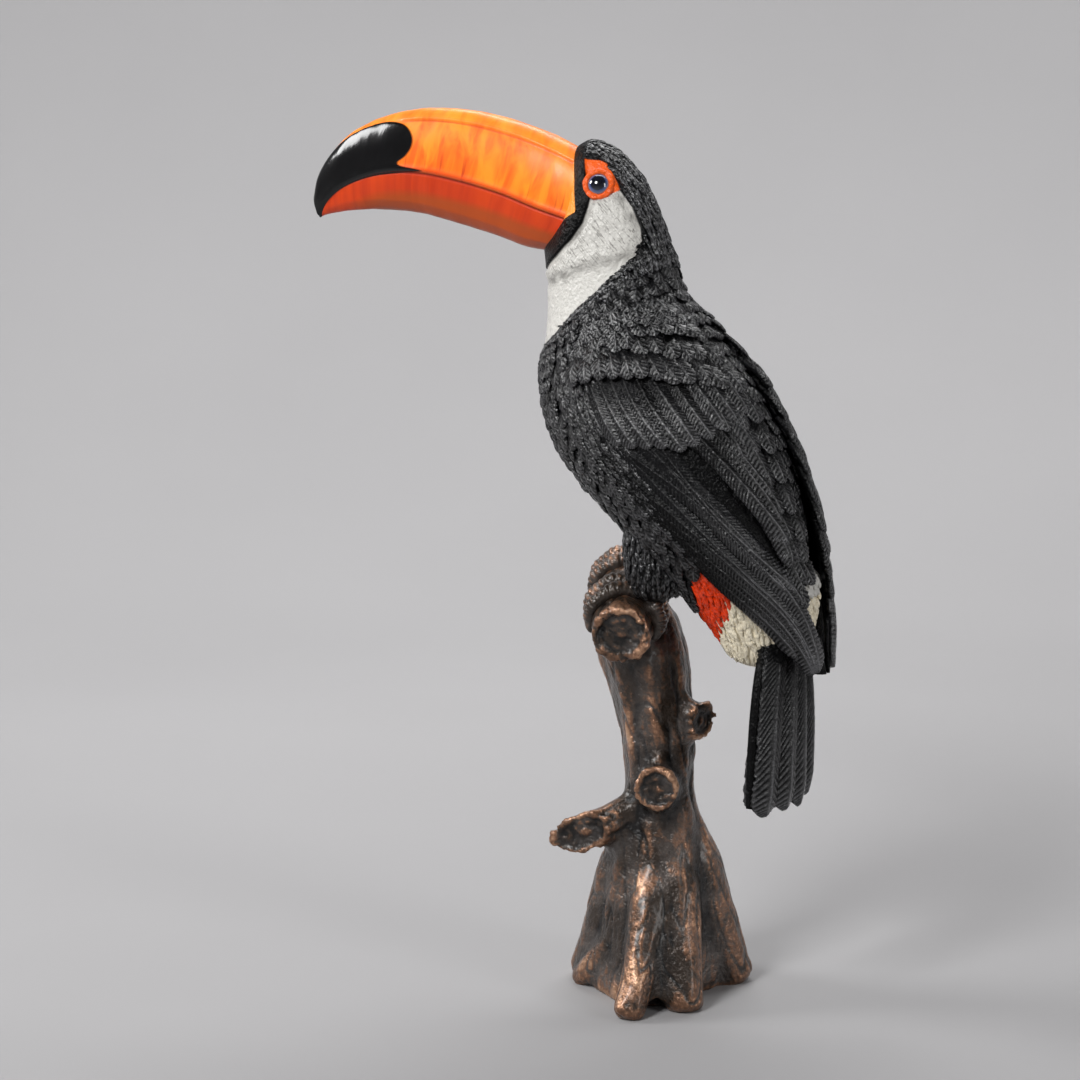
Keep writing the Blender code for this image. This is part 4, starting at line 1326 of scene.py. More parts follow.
    def thighs(self) -> bpy.types.Object:
        """Feathered thighs down to the feet.

        Returns:
            The piece.
        """
        rng = np.random.default_rng(self.seed + 3)
        shell = Shell()
        for side in (1.0, -1.0):
            chart = ThighChart(side)
            s, a = np.meshgrid(np.linspace(0, 1.06, 26), np.linspace(0, 2 * math.pi, 49)[:-1], indexing="ij")
            shell.add_skin(chart.place(s, a), flip=True, ridge=0.3, tone=0.2)
            rows_at = np.arange(0.22, 1.03, 0.075)
            p = np.repeat(rows_at, 22) + rng.normal(0, 0.012, len(rows_at) * 22)
            turn = np.tile(np.arange(22), len(rows_at)) / 22 + np.repeat(np.arange(len(rows_at)) % 2, 22) / 44
            a = turn * 2 * math.pi + rng.normal(0, 0.05, len(p))
            roots = np.stack((p - 0.20, a + rng.normal(0, 0.06, len(p))), -1)
            cut = FeatherCut(barb=2.4, barb_depth=0.12, shaft=0.1, camber=0.6, lift=0.9, sink=0.5, thick=1.0,
                             end=1.3, half=(0.0, 0.35, 1.0))
            lay_feathers(shell, chart, cut, roots, np.stack((p, a), -1), rng.uniform(3.4, 4.8, len(p)), rng)
        return shell.build("thigh_feathers", self.black)

    def eyelids(self) -> bpy.types.Object:
        """The thick bare ring of skin round each eye.

        Returns:
            The piece, with both rings in one mesh.
        """
        centre, normal = self.eye()
        shell = Shell()
        for side in (1.0, -1.0):
            mirror = np.array((side, 1, 1))
            look = normal * mirror
            rim = (centre + normal * EYE_DEPTH) * mirror
            across = np.cross(look, (0, 0, 1))
            across /= np.linalg.norm(across)
            up = np.cross(across, look)
            t, c = (np.linspace(0, 2 * math.pi, steps + 1)[:-1] for steps in (96, 24))
            t, c = np.meshgrid(t, c, indexing="ij")
            thick = 1.6 * (1 + 0.10 * np.sin(5 * t + 1) + 0.05 * np.sin(13 * t))
            radius = 7.35 + 1.05 * np.cos(c) * thick
            fold = 0.12 * np.sin(3 * c + 5 * t)
            high = (0.85 * thick + fold) * np.sin(c)
            points = rim + (radius * np.cos(t))[..., None] * across * 0.97
            points = points + (radius * np.sin(t))[..., None] * up + high[..., None] * look
            rows, columns = t.shape
            shell.add(points, [grid_faces(rows, columns, True, side < 0, joined=True)], ridge=0.5, tone=0.2,
                      wash=0.0, bib=-FAR, orbit=FAR, bill_root=-FAR, red=-FAR, cream=-FAR, rump=-FAR)
        return shell.build("eyelids", self.painted)

    def eyes(self) -> list[bpy.types.Object]:
        """The two domed eyes, which stand for the solid ones.

        Returns:
            The left and the right eye.
        """
        made = []
        centre, normal = self.eye()
        for side, name in ((1.0, "eye_left"), (-1.0, "eye_right")):
            bpy.ops.object.select_all(action="DESELECT")
            bpy.ops.mesh.primitive_uv_sphere_add(segments=64, ring_count=40, radius=EYE_RADIUS * MM)
            piece = bpy.context.object
            look = Vector(normal * (side, 1, 1))
            piece.data.transform(look.to_track_quat("Z", "Y").to_matrix().to_4x4())
            turned = np.array([v.co for v in piece.data.vertices])
            off = np.degrees(np.arccos(np.clip(turned @ np.array(look) / (EYE_RADIUS * MM), -1, 1)))
            set_mark(piece.data, "off_axis", off)
            for vert in piece.data.vertices:
                vert.co += Vector(centre * (side, 1, 1) * MM)
            bpy.ops.object.shade_smooth()
            piece.name = piece.data.name = "domed_" + name
            EyeEnamel().dress(piece)
            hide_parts(name)
            made.append(piece)
        return made


@dataclass
class Wing:
    """One folded wing: its slab, its rows of coverts and its long flight feathers."""

    side: float
    seed: int = 21
    paint: PlumagePaint = field(default_factory=PlumagePaint)

    def name(self) -> str:
        """Which wing this is."""
        return "left" if self.side > 0 else "right"

    def slab(self, shell: Shell) -> None:
        """The closed slab that the feathers are laid on."""
        chart = WingChart(self.side)
        p, s = np.meshgrid(np.linspace(0, 7, 130), np.linspace(0, 1, 22), indexing="ij")
        # The back edge is cut back over the rump, and toothed where feathers end above it.
        notch = 0.32 * smooth_step(p, 5.3, 5.6) * (1 - smooth_step(p, 6.0, 6.4))
        notch = notch + 0.055 * (1 - p * 2.4 % 1.0) * smooth_step(p, 0.3, 0.8)
        s = notch + s * (1 - notch)
        base, _, _, normal = chart.frame(p, s)
        thick = 6.5 * (1 - 0.55 * p / 7) * np.sin(math.pi * np.clip(s, 0.03, 0.97)) ** 0.35
        ring = np.concatenate((base, (base - normal * thick[..., None])[:, ::-1]), 1)
        shell.add_skin(ring, self.side < 0, ridge=0.1, tone=0.2)

    def row(
        self,
        shell: Shell,
        rng: np.random.Generator,
        cut: FeatherCut,
        tip_line: Callable[[np.ndarray], np.ndarray],
        long: float,
        wide: float,
        shares: tuple[float, float],
        drift: float = 0.0,
    ) -> None:
        """Lays one row of coverts side by side.

        Args:
            shell: Where they are gathered.
            rng: Source of small irregularities.
            cut: How they are carved.
            tip_line: Section number of the tips by share across the wing.
            long: Their length in millimetres.
            wide: Their width.
            shares: Where the row starts and ends across the wing.
            drift: Share by which a tip lies nearer the back edge than its root.
        """
        chart = WingChart(self.side)
        fine = np.linspace(shares[0], shares[1], 60)
        line = chart.place(tip_line(fine), fine)
        run = run_along(line)
        count = max(3, round(run[-1] / (wide * 0.80)))
        s = np.interp((np.arange(count) + 0.5) / count * run[-1], run, fine)
        s = s + rng.normal(0, 0.004, count)
        p = tip_line(s) + rng.normal(0, 0.03, count)
        _, down, _, _ = chart.frame(p, s)
        dp = long * rng.uniform(0.93, 1.07, count) / np.linalg.norm(down, axis=-1)
        roots = np.stack((p - dp, s + drift * long / 30), -1)
        widths = wide * rng.uniform(0.92, 1.1, count)
        lay_feathers(shell, chart, cut, roots, np.stack((p, s), -1), widths, rng)

    def coverts(self) -> bpy.types.Object:
        """The slab with the rows of shorter feathers over its upper part.

        Returns:
            The piece.
        """
        rng = np.random.default_rng(self.seed)
        shell = Shell()
        self.slab(shell)
        knots = (0, 0.2, 0.4, 0.6, 0.8, 1.0)
        small = FeatherCut(lift=1.9, camber=0.8, barb=1.9, barb_depth=0.45, ragged=0.10, end=0.62)
        curve = (0.35, 0.22, 0.1, 0.05, 0.1, 0.2)
        for offset in (-0.30, -0.02, 0.24, 0.5):
            self.row(shell, rng, small, lambda s, o=offset: o + np.interp(s, knots, curve),
                     15, 9.0, (-0.03, 1.08))
        front = FeatherCut(lift=1.3, camber=0.7, barb=2.1, barb_depth=0.35, ragged=0.12, end=1.2,
                           half=(0.0, 0.2, 0.6, 1.0))
        for p0 in np.arange(0.9, 4.7, 0.22):
            self.row(shell, rng, front, lambda s, p=p0: p - 0.9 * (1 - s), 14, 5.2, (0.76, 1.10), 0.02)
        rear = FeatherCut(lift=3.0, camber=1.2, barb=2.0, barb_depth=0.5, thick=2.4, ragged=0.10, end=0.85)
        for p0, first in ((2.6, -0.04), (3.1, -0.04), (3.6, -0.04), (4.1, -0.04), (4.55, -0.04), (5.0, -0.03),
                          (5.35, 0.0), (5.75, 0.30)):
            self.row(shell, rng, rear, lambda s, p=p0: np.full_like(s, p), 23, 9.6, (first, 0.26), -0.01)
        self.row(shell, rng, small, lambda s: np.interp(s, knots, (1.42, 1.28, 0.98, 0.82, 0.95, 1.15)),
                 17, 10.5, (-0.03, 1.05), 0.01)
        longer = FeatherCut(lift=2.7, camber=1.6, barb=1.7, barb_depth=0.36, shaft=0.5, thick=2.6, end=0.85,
                            tilt=0.4, ragged=0.05)
        self.row(shell, rng, longer, lambda s: np.interp(s, knots, (2.35, 2.56, 2.76, 2.66, 2.5, 2.35)),
                 50, 11.0, (0.0, 0.84), 0.03)
        strong = FeatherCut(lift=4.2, camber=1.1, barb=1.9, barb_depth=0.5, thick=3.0, ragged=0.09, end=0.7)
        self.row(shell, rng, strong, lambda s: np.interp(s, knots, (2.0, 1.80, 1.57, 1.36, 1.22, 1.3)),
                 21, 10.5, (-0.03, 0.98), 0.02)
        return shell.build("wing_coverts_" + self.name(), self.paint)

    def flight(self) -> bpy.types.Object:
        """The long flight feathers, which drift to the back edge as they run down.

        Returns:
            The piece.
        """
        rng = np.random.default_rng(self.seed + 1)
        chart = WingChart(self.side)
        shell = Shell()
        cut = FeatherCut(lift=2.2, camber=2.6, barb=2.1, barb_depth=0.50, shaft=0.6, thick=3.0, end=1.2,
                         tilt=0.9, narrow=0.95, ragged=0.03, half=(0.0, 0.1, 0.45, 0.8, 1.0))
        # Section number and share across, first of the root and then of the tip.
        outer = ((4.9, 1.03, 6.2, 0.72), (4.4, 1.03, 6.5, 0.62), (3.9, 1.03, 6.75, 0.55),
                 (3.4, 1.02, 6.9, 0.49), (3.0, 1.02, 6.95, 0.44), (2.6, 1.0, 6.9, 0.39),
                 (2.25, 0.98, 6.85, 0.35))
        middle = [(1.9, share, 2.5 + (share - 0.02) / 0.185 * 0.88, 0.10 + 0.24 * share**2)
                  for share in (0.06, 0.14, 0.22, 0.30, 0.38, 0.46, 0.54, 0.62, 0.70, 0.78, 0.86, 0.94)]
        for p0, s0, p1, s1 in (*outer, *middle[::-1]):
            p1 = min(p1, 6.9)
            s1 += 0.11 * float(smooth_step(np.array(p1), 4.8, 5.5))
            roots, tips = np.array([(p0, s0)]), np.array([(p1 + rng.normal(0, 0.03), s1)])
            wide = np.array([rng.uniform(10.4, 12.6)]) * (0.82 if p1 > 6.0 else 1.0)
            lay_feathers(shell, chart, cut, roots, tips, wide, rng)
        return shell.build("wing_flight_feathers_" + self.name(), self.paint)


@dataclass
class Tail:
    """The long tail feathers that hang straight down."""

    seed: int = 41
    feathers: int = 4
    paint: PlumagePaint = field(default_factory=PlumagePaint)

    def build(self) -> bpy.types.Object:
        """Both faces of the tail over a thin closed core.

        Returns:
            The piece.
        """
        rng = np.random.default_rng(self.seed)
        shell = Shell()
        p, s = np.meshgrid(np.linspace(0, 4.8, 40), np.linspace(-0.92, 0.92, 40), indexing="ij")
        outer = TailChart(1).place(p, s) - (0, 0.6, 0)
        inner = TailChart(-1).place(p, s) + (0, 0.6, 0)
        shell.add_skin(np.concatenate((outer, inner[:, ::-1]), 1), ridge=0.1, tone=0.2)
        cut = FeatherCut(lift=1.2, camber=4.2, barb=2.6, barb_depth=0.85, shaft=0.8, thick=4.4, end=0.62,
                         sink=-0.4, narrow=0.95, lag=0.6, ragged=0.03)
        for turn in (1, -1):
            chart = TailChart(turn)
            order = (0, 3, 1, 2)
            for number in order:
                across = (number + 0.5) / self.feathers * 2 - 1
                drop = 5.14 - 0.26 * across**2 + 0.20 * max(0.0, -across) + rng.normal(0, 0.05)
                roots, tips = np.array([(0.0, across * 0.92)]), np.array([(drop, across * 0.97)])
                lay_feathers(shell, chart, cut, roots, tips, np.array([19.5]), rng)
        return shell.build("tail_feathers", self.paint)


@dataclass
class Bill:
    """Both jaws of the bill in one casting, with the mouth line cut along each side."""

    chart: BillChart = field(default_factory=BillChart)
    paint: BillEnamel = field(default_factory=BillEnamel)

    def nail(self, along: np.ndarray, angle: np.ndarray) -> np.ndarray:
        """How far places lie inside the black tip, in degrees round the bill."""
        # Section number and degrees from the culmen.
        edge = ((10.4, 4), (9.2, 12), (8.2, 20), (7.2, 26), (6.3, 28), (5.4, 32), (4.72, 43), (4.38, 58),
                (4.30, 72), (4.45, 84), (4.66, 91), (4.5, 95), (3.9, 98), (4.2, 101), (4.8, 104),
                (6.0, 108), (8.0, 122), (9.2, 150), (9.7, 180), (12, 190), (12, 0))
        scaled = [(place * 25, degrees) for place, degrees in edge]
        return inside_distance(rounded(scaled), along * 25, angle)

    def build(self) -> bpy.types.Object:
        """The bill's piece.

        Returns:
            The piece, closed at its root and its tip.
        """
        along = np.concatenate((np.linspace(-0.5, 8, 175), np.linspace(8.04, 10.0, 42)))
        mouth_share = 0.60
        half = np.concatenate((
            np.linspace(0, mouth_share - 0.03, 46),
            np.linspace(mouth_share - 0.025, mouth_share + 0.025, 11),
            np.linspace(mouth_share + 0.03, 1, 30),
        ))
        share = np.concatenate((half, -half[-2:0:-1]))
        p, h = np.meshgrid(along, share, indexing="ij")
        mouth = self.chart.mouth(p)
        round_share = np.abs(h)
        upper = round_share <= mouth_share
        angle = np.where(upper, round_share / mouth_share * mouth,
                         mouth + (round_share - mouth_share) / (1 - mouth_share) * (math.pi - mouth))
        angle = angle * np.where(h < 0, -1, 1)
        base, _, over, normal = self.chart.frame(p, angle)
        degrees = np.degrees(np.abs(angle))
        size = np.linalg.norm(over, axis=-1)
        jaw = (np.abs(angle) - mouth) * size
        taper = read_table(BILL_SECTIONS, p)[..., 4] / 16.5
        high = -1.5 * taper * hump(jaw, 0, 0.8)
        high -= 1.0 * taper * smooth_step(jaw, 0, 1.0)
        high += 0.75 * taper * hump(jaw, -2.6, 1.5)
        plate = (degrees - 37) * math.pi / 180 * size
        fade = smooth_step(p, -0.5, 0.3) * (1 - smooth_step(p, 4.2, 5.2))
        high += 0.8 * fade * (1 - smooth_step(plate, -0.9, 0.9))
        high += 0.35 * fade * hump(plate, -1.2, 0.8)
        facet = (degrees - 141) * math.pi / 180 * size
        high += 0.5 * taper * hump(facet, 0, 2.2)
        nail = self.nail(p, degrees)
        high += 0.35 * smooth_step(nail, -0.6, 1.2) * (jaw < 0)
        wavy = np.stack((base[..., 1] * 0.07, degrees * 0.012, np.sign(h) * 3.0), -1)
        high += 0.35 * layered_noise(wavy, 12) * smooth_step(np.abs(jaw), 2, 5)
        points = base + normal * high[..., None]
        poles = points[0].mean(0) + (0, 4, 0), points[-1].mean(0) + (0, -0.8, -1.2)
        cloud = smooth_step(layered_noise(wavy * 2, 19), -0.9, 0.9)
        marks = {
            "fore": run_along(base[:, 0])[:, None],
            "fall": np.abs(angle) * size + 300.0 * (h < 0),
            "nail": nail * 0.35,
            "jaw": jaw,
            "lip": 0.85 * hump(jaw, -2.2, 1.5),
            "line": 0.95 * hump(jaw, 0, 0.75),
            # The top plate is lighter: partly its paint, partly a painted highlight.
            "plate": 0.55 * (1 - smooth_step(plate, -1.5, 1.0)) * cloud,
            # Painted shade in the crease under the plate's edge.
            "crease": 0.75 * fade * hump(plate, 0.4, 0.55),
        }
        shell = Shell()
        shell.add_skin(points, True, poles, **marks)
        return shell.build("bill", self.paint)


@dataclass(frozen=True)
class Limb:
    """One limb of the stump: points along it, its radius at each, and its broken end."""

    path: np.ndarray
    radii: np.ndarray
    sides: int = 24
    dish: float = 0.0
    facing: tuple[float, float, float] | None = None

    def refined(self, steps: int = 5) -> tuple[np.ndarray, np.ndarray]:
        """The path and radii with smooth points added between the given ones."""
        place = np.linspace(0, len(self.path) - 1, (len(self.path) - 1) * steps + 1)
        table = np.column_stack((self.path, self.radii))
        rows = read_table(table, place)
        return rows[:, :3], rows[:, 3]

    def add_to(self, shell: Shell) -> None:
        """Adds the limb as a closed tapered tube."""
        path, radii = self.refined()
        heading = np.gradient(path, axis=0)
        heading /= np.linalg.norm(heading, axis=-1, keepdims=True)
        side = np.cross(heading[0], (0.3, 0.2, 1.0) if abs(heading[0][2]) < 0.9 else (1.0, 0, 0))
        turn = 2 * math.pi * np.arange(self.sides) / self.sides
        rings = []
        for point, ahead, radius in zip(path, heading, radii):
            side = side - ahead * side.dot(ahead)
            side /= np.linalg.norm(side)
            up = np.cross(ahead, side)
            rings.append(point + radius * (np.cos(turn)[:, None] * side + np.sin(turn)[:, None] * up))
        end, ahead = path[-1], heading[-1]
        if self.facing is not None:
            slope = ahead @ np.array(self.facing)
            rings[-1] = rings[-1] + ((end - rings[-1]) @ np.array(self.facing) / slope)[:, None] * ahead
            rings[-2] = (rings[-2] + rings[-1] + rings[-3]) / 3
        rim = rings[-1]
        # Share of the radius and depth of each ring that closes the end.
        dished, rounded_off = ((0.86, 0.35), (0.72, -0.35), (0.5, -1.0)), ((0.85, 0.3), (0.5, 0.5))
        for share, depth in dished if self.dish else rounded_off:
            size = self.dish or radii[-1]
            rings.append(end + (rim - end) * share + ahead * size * depth)
        shell.add_skin(np.array(rings), True, (path[0], rings[-1].mean(0)))


@dataclass
class Stump:
    """The rooted stem with its broken branches and the perch across its top."""

    perch: Perch = field(default_factory=Perch)
    waist: float = 21.0
    reach: float = 60.0
    root_stout: float = 11.5
    voxel: float = 1.3
    fillet: float = 6.0  # how roundly limbs run into each other
    folds: float = 1.7  # depth of the bark's broad folds
    cracks: float = 1.1
    fibres: float = 0.30
    # Share of the height, lean along Y, and stoutness.
    stem: tuple[tuple[float, float, float], ...] = (
        (0.0, 0, 1.85), (0.08, 0, 1.72), (0.20, 0, 1.52), (0.32, 0, 1.34), (0.44, -0.5, 1.12),
        (0.54, -1, 0.92), (0.62, -2, 0.95), (0.70, -3.5, 1.01), (0.78, -7, 1.06), (0.87, -11.5, 1.18),
        (0.96, -17, 1.14), (1.03, -21, 0.85),
    )
    # Bearings where a root leaves the stem and where it ends, then as shares its reach, its
    # stoutness and the height at which it leaves.
    roots: tuple[tuple[float, float, float, float, float], ...] = (
        (20, 10, 1.08, 0.85, 0.42), (50, 45, 0.78, 1.10, 0.45), (126, 136, 0.75, 1.30, 0.50),
        (208, 205, 0.80, 1.05, 0.42), (285, 275, 0.74, 1.30, 0.50), (365, 288, 0.80, 0.62, 0.30),
    )
    # Share of the height at which a branch leaves, its broken end, its stoutness, and which
    # way the break faces.
    stubs: tuple[tuple, ...] = (
        (0.50, (34, -33, 94), 0.90, (0.98, 0.20, 0.0)),
        (0.53, (28.5, 11.5, 124), 1.05, (0.90, 0.38, 0.05)),
        (0.70, (-3, 25, 159), 0.90, (0.10, 0.99, 0.0)),
        (0.60, (-32, -8, 140), 0.80, (-0.97, -0.20, 0.1)),
    )

    def stem_points(self) -> np.ndarray:
        """Rings of the furrowed stem."""
        share = np.linspace(0, 1.03, 70)
        table = np.array(self.stem)
        place = np.interp(share, table[:, 0], np.arange(len(table)))
        _, lean, stout = read_table(table, place).T
        turn = 2 * math.pi * np.arange(96) / 96
        t, s = np.meshgrid(turn, share)
        furrow = 0.045 * np.cos(3 * t + 6 * s) + 0.035 * np.cos(7 * t - 5 * s)
        cleft = np.clip(1 - s / 0.5, 0, None) * np.clip(np.cos(t - math.radians(92)), 0, None) ** 8
        radius = self.waist * stout[:, None] * (1 + furrow - 0.30 * cleft)
        x, y = radius * np.cos(t), radius * np.sin(t) + lean[:, None]
        return np.stack((x, y, np.broadcast_to(share[:, None] * self.perch.height, x.shape)), -1)

    def limbs(self) -> list[Limb]:
        """Roots, broken branches and the perch."""
        made = []
        for bearing, turned, reach, stout, leaves in self.roots:
            path, radii = [], []
            for share, drop in ((0.10, 1.0), (0.34, 0.70), (0.60, 0.42), (0.80, 0.19), (0.95, 0.04)):
                angle = math.radians(bearing + (turned - bearing) * share)
                out = reach * self.reach * share
                path.append((out * math.cos(angle), out * math.sin(angle), leaves * self.perch.height * drop))
                radii.append(self.root_stout * stout * (1.35 - 0.45 * share if path[1:] else 0.6))
            made.append(Limb(np.array(path), np.array(radii)))
        for share, end, stout, facing in self.stubs:
            start, end = np.array((0, 0, share * self.perch.height)), np.array(end, float)
            path = np.array((start, start + (end - start) * 0.52, end))
            made.append(Limb(path, 11.5 * stout * np.array((1.25, 0.98, 1.05)), dish=2.2, facing=facing))
        places = self.perch.length * np.array((-0.46, -0.30, -0.12, 0.06, 0.24, 0.40, 0.5))
        made.append(Limb(self.perch.axis(places), self.perch.radius(places), sides=40, dish=2.2))
        return made

    def build(self) -> bpy.types.Object:
        """Joins the limbs into one skin, then carves the bark into it.

        Returns:
            The piece that stands for the stump's solid.
        """
        shell = Shell()
        stem = self.stem_points()
        shell.add_skin(stem, True, (np.zeros(3), stem[-1].mean(0) + (0, 0, 4)))
        limbs = self.limbs()
        for limb in limbs:
            limb.add_to(shell)
        piece = shell.build("stump_casting")
        bpy.ops.object.select_all(action="DESELECT")
        bpy.context.view_layer.objects.active = piece
        piece.select_set(True)
        # Grown, shrunk again and made even, which rounds the corners between limbs.
        for fill, voxel in ((self.fillet, 1.5), (-self.fillet, 1.2), (0.0, self.voxel)):
            skin = piece.modifiers.new("skin", "REMESH")
            skin.mode = "VOXEL"
            skin.voxel_size = voxel * MM
            skin.use_smooth_shade = True
            bpy.ops.object.modifier_apply(modifier=skin.name)
            if fill:
                grow = piece.modifiers.new("grow", "DISPLACE")
                grow.mid_level = 0.0
                grow.strength = fill * MM
                bpy.ops.object.modifier_apply(modifier=grow.name)
        soften = piece.modifiers.new("soften", "SMOOTH")
        soften.factor = 0.5
        soften.iterations = 8
        bpy.ops.object.modifier_apply(modifier=soften.name)
        self.carve(piece, limbs)
        BronzedResin().dress(piece)
        return piece

    def carve(self, piece: bpy.types.Object, limbs: list[Limb]) -> None:
        """Cuts bark into the skin along each limb, levels the foot and marks the wear.

        Args:
            piece: The joined stump.
            limbs: The limbs whose direction the bark follows.
        """
        mesh = piece.data
        count = len(mesh.vertices)
        points = read_vectors(mesh, "co").astype(float) / MM
        normals = read_vectors(mesh, "normal").astype(float)
        stem_path = np.array([(0, lean, share * self.perch.height) for share, lean, _ in self.stem])
        stem_radii = np.array([stout for _, _, stout in self.stem]) * self.waist
        total, weights = np.zeros(count), np.zeros(count)
        for number, limb in enumerate([Limb(stem_path, stem_radii), *limbs]):
            path, radii = limb.refined(4)
            weight = np.exp(-6 * np.clip(self.nearness(path, radii, points) - 0.8, 0, None)) + 1e-9
            axis = path[-1] - path[0]
            axis /= np.linalg.norm(axis)
            run = points @ axis
            grain = (points - run[:, None] * axis) * 0.10 + (run * 0.020)[:, None] * axis + 7.3 * number
            folds = layered_noise(grain, 31, 2)
            crack = np.clip(1 - np.abs(lattice_noise(grain * 1.3 + 5, 37)) / 0.14, 0, 1)
            fibre = layered_noise(grain * 4.3 + 11, 39, 2)
            total += weight * (self.folds * folds - self.cracks * crack**1.5 + self.fibres * fibre)
            weights += weight
        high = total / weights
        high += 1.1 * layered_noise(points * 0.06, 51, 2) + 0.13 * layered_noise(points * 0.5, 53, 2)
        high += self.cut_ends(points, limbs)
        high *= smooth_step(points[:, 2], -1, 6)
        moved = points + normals * high[:, None]
        moved[:, 2] = np.maximum(moved[:, 2], 0.0)
        mesh.vertices.foreach_set("co", (moved * MM).astype(np.float32).ravel())
        mesh.update()
        set_mark(mesh, "wear", self.wear(mesh, moved))

    @staticmethod
    def nearness(path: np.ndarray, radii: np.ndarray, points: np.ndarray) -> np.ndarray:
        """How far places lie from a limb's axis, as a share of its radius.

        Args:
            path: Points along the limb.
            radii: Its radius at each.
            points: Places on the skin.

        Returns:
            The least share for each place.
        """
        best = np.full(len(points), 1e9)
        for here, there, radius in zip(path, path[1:], radii):
            edge = there - here
            t = np.clip((points - here) @ edge / (edge @ edge), 0, 1)
            far = np.linalg.norm(points - here - t[:, None] * edge, axis=-1) / radius
            best = np.minimum(best, far)
        return best

    def cut_ends(self, points: np.ndarray, limbs: list[Limb]) -> np.ndarray:
        """Lumpy rims and rough hearts of the broken ends.

        Args:
            points: Places on the skin.
            limbs: The limbs, of which those with a dish are broken off.

        Returns:
            How far each place is raised.
        """
        high = np.zeros(len(points))
        for number, limb in enumerate(limbs):
            if not limb.dish:
                continue
            path, radii = limb.refined()
            ahead = path[-1] - path[-3]
            ahead /= np.linalg.norm(ahead)
            faced = np.array(limb.facing if limb.facing is not None else ahead)
            offset = points - path[-1]
            depth = offset @ faced / np.linalg.norm(faced)
            flat = offset - (offset @ ahead)[:, None] * ahead
            out = np.linalg.norm(flat, axis=-1) / radii[-1]
            near = hump(depth, 0, 3.0) * (np.linalg.norm(offset, axis=-1) < 2.2 * radii[-1])
            lumps = layered_noise(points * 0.30 + 3.0 * number, 67, 2)
            rim = hump(out, 0.90, 0.20)
            heart = 1 - smooth_step(out, 0.60, 0.80)
            rough = layered_noise(points * 0.40 + number, 61, 3)
            knob = hump(out, 0, 0.28)
            ring = hump(out, 0.48, 0.10)
            high += near * (rim * (0.6 + 2.2 * lumps) + heart * (1.5 * rough - 1.2 + 3.2 * knob + 0.9 * ring))
        return high

    @staticmethod
    def wear(mesh: bpy.types.Mesh, points: np.ndarray) -> np.ndarray:
        """How far each point stands up from its surroundings, from 0 in hollows to 1."""
        edges = np.empty(len(mesh.edges) * 2, np.int32)
        mesh.edges.foreach_get("vertices", edges)
        first, second = edges.reshape(-1, 2).T
        normals = read_vectors(mesh, "normal")
        degree = np.bincount(edges, minlength=len(points))[:, None]
        smooth = points.copy()
        total = np.zeros(len(points))
        for step in range(1, 41):
            near = np.stack([np.bincount(first, smooth[second, k], len(points))
                             + np.bincount(second, smooth[first, k], len(points)) for k in range(3)], -1)
            smooth = near / degree
            if step in (4, 14, 40):
                rise = ((points - smooth) * normals).sum(-1)
                total += np.clip(rise / (0.10 * step**0.75), -1, 1) / 3
        return np.clip(0.42 + 0.55 * total, 0, 1)


@dataclass
class Feet:
    """Scaly toes that grip the perch, cast with the stump."""

    perch: Perch = field(default_factory=Perch)
    stout: float = 4.6
    start: float = 62.0  # degrees round the perch at which the toes leave the leg
    claw_at: float = 0.84  # where the claw begins, as a share of the toe

    def build(self) -> bpy.types.Object:
        """Eight toes with scutes and claws.

        Returns:
            The piece.
        """
        shell = Shell()
        out = self.perch.out()
        back = np.cross(out, (0, 0, 1))
        back = back / np.linalg.norm(back) * (1 if back[1] > 0 else -1)
        up = np.cross(out, back)
        up = up * (1 if up[2] > 0 else -1)
        # Which way a toe leans along the perch, and the angle round it at which it ends.
        toes = ((-1, 205), (1, 198), (-1, -38), (1, -30))
        for side, (spread, ends) in itertools.product((1, -1), toes):
            share = np.linspace(0, 1, 72)
            angle = np.radians(self.start + (ends - self.start) * share)
            along = side * FOOT_APART + spread * (2.5 + 5.5 * np.sin(math.pi * np.minimum(share, 0.6)))
            lift = 0.45 - 0.35 * share + (0.35 if ends < 0 else 0)
            reach = self.perch.radius(along) + self.stout * lift
            spoke = np.cos(angle)[:, None] * back + np.sin(angle)[:, None] * up
            path = self.perch.axis(along) + spoke * reach[:, None]
            claw = smooth_step(share, 0.80, self.claw_at)
            radius = self.stout * (1.15 - 0.3 * share) * (1 - 0.25 * claw)
            point = np.sqrt(np.clip(1 - ((share - self.claw_at) / 0.165) ** 2, 0.03, 1))
            radius = radius * np.where(share > self.claw_at, point, 1)
            scutes = np.abs(np.sin(math.pi * share * 15)) * (1 - claw)
            knuckle = 0.10 * np.cos(2 * math.pi * share * 3.2) * (1 - claw)
            radius = radius * (1 + knuckle)
            turn = 2 * math.pi * np.arange(22) / 22
            t, r = np.meshgrid(turn, radius)
            top = smooth_step(np.sin(t), -0.2, 0.7)
            r = r * (1 + (0.17 * scutes[:, None] - 0.05) * top)
            ring = np.cos(t)[..., None] * out + np.sin(t)[..., None] * spoke[:, None]
            points = path[:, None] + r[..., None] * ring
            wear = 0.30 + 0.45 * scutes[:, None] * top + 0.2 * claw[:, None] * top
            shell.add_skin(points, ends > self.start, wear=np.append(wear, (0.4, 0.8)))
        return shell.build("toes", BronzedResin())


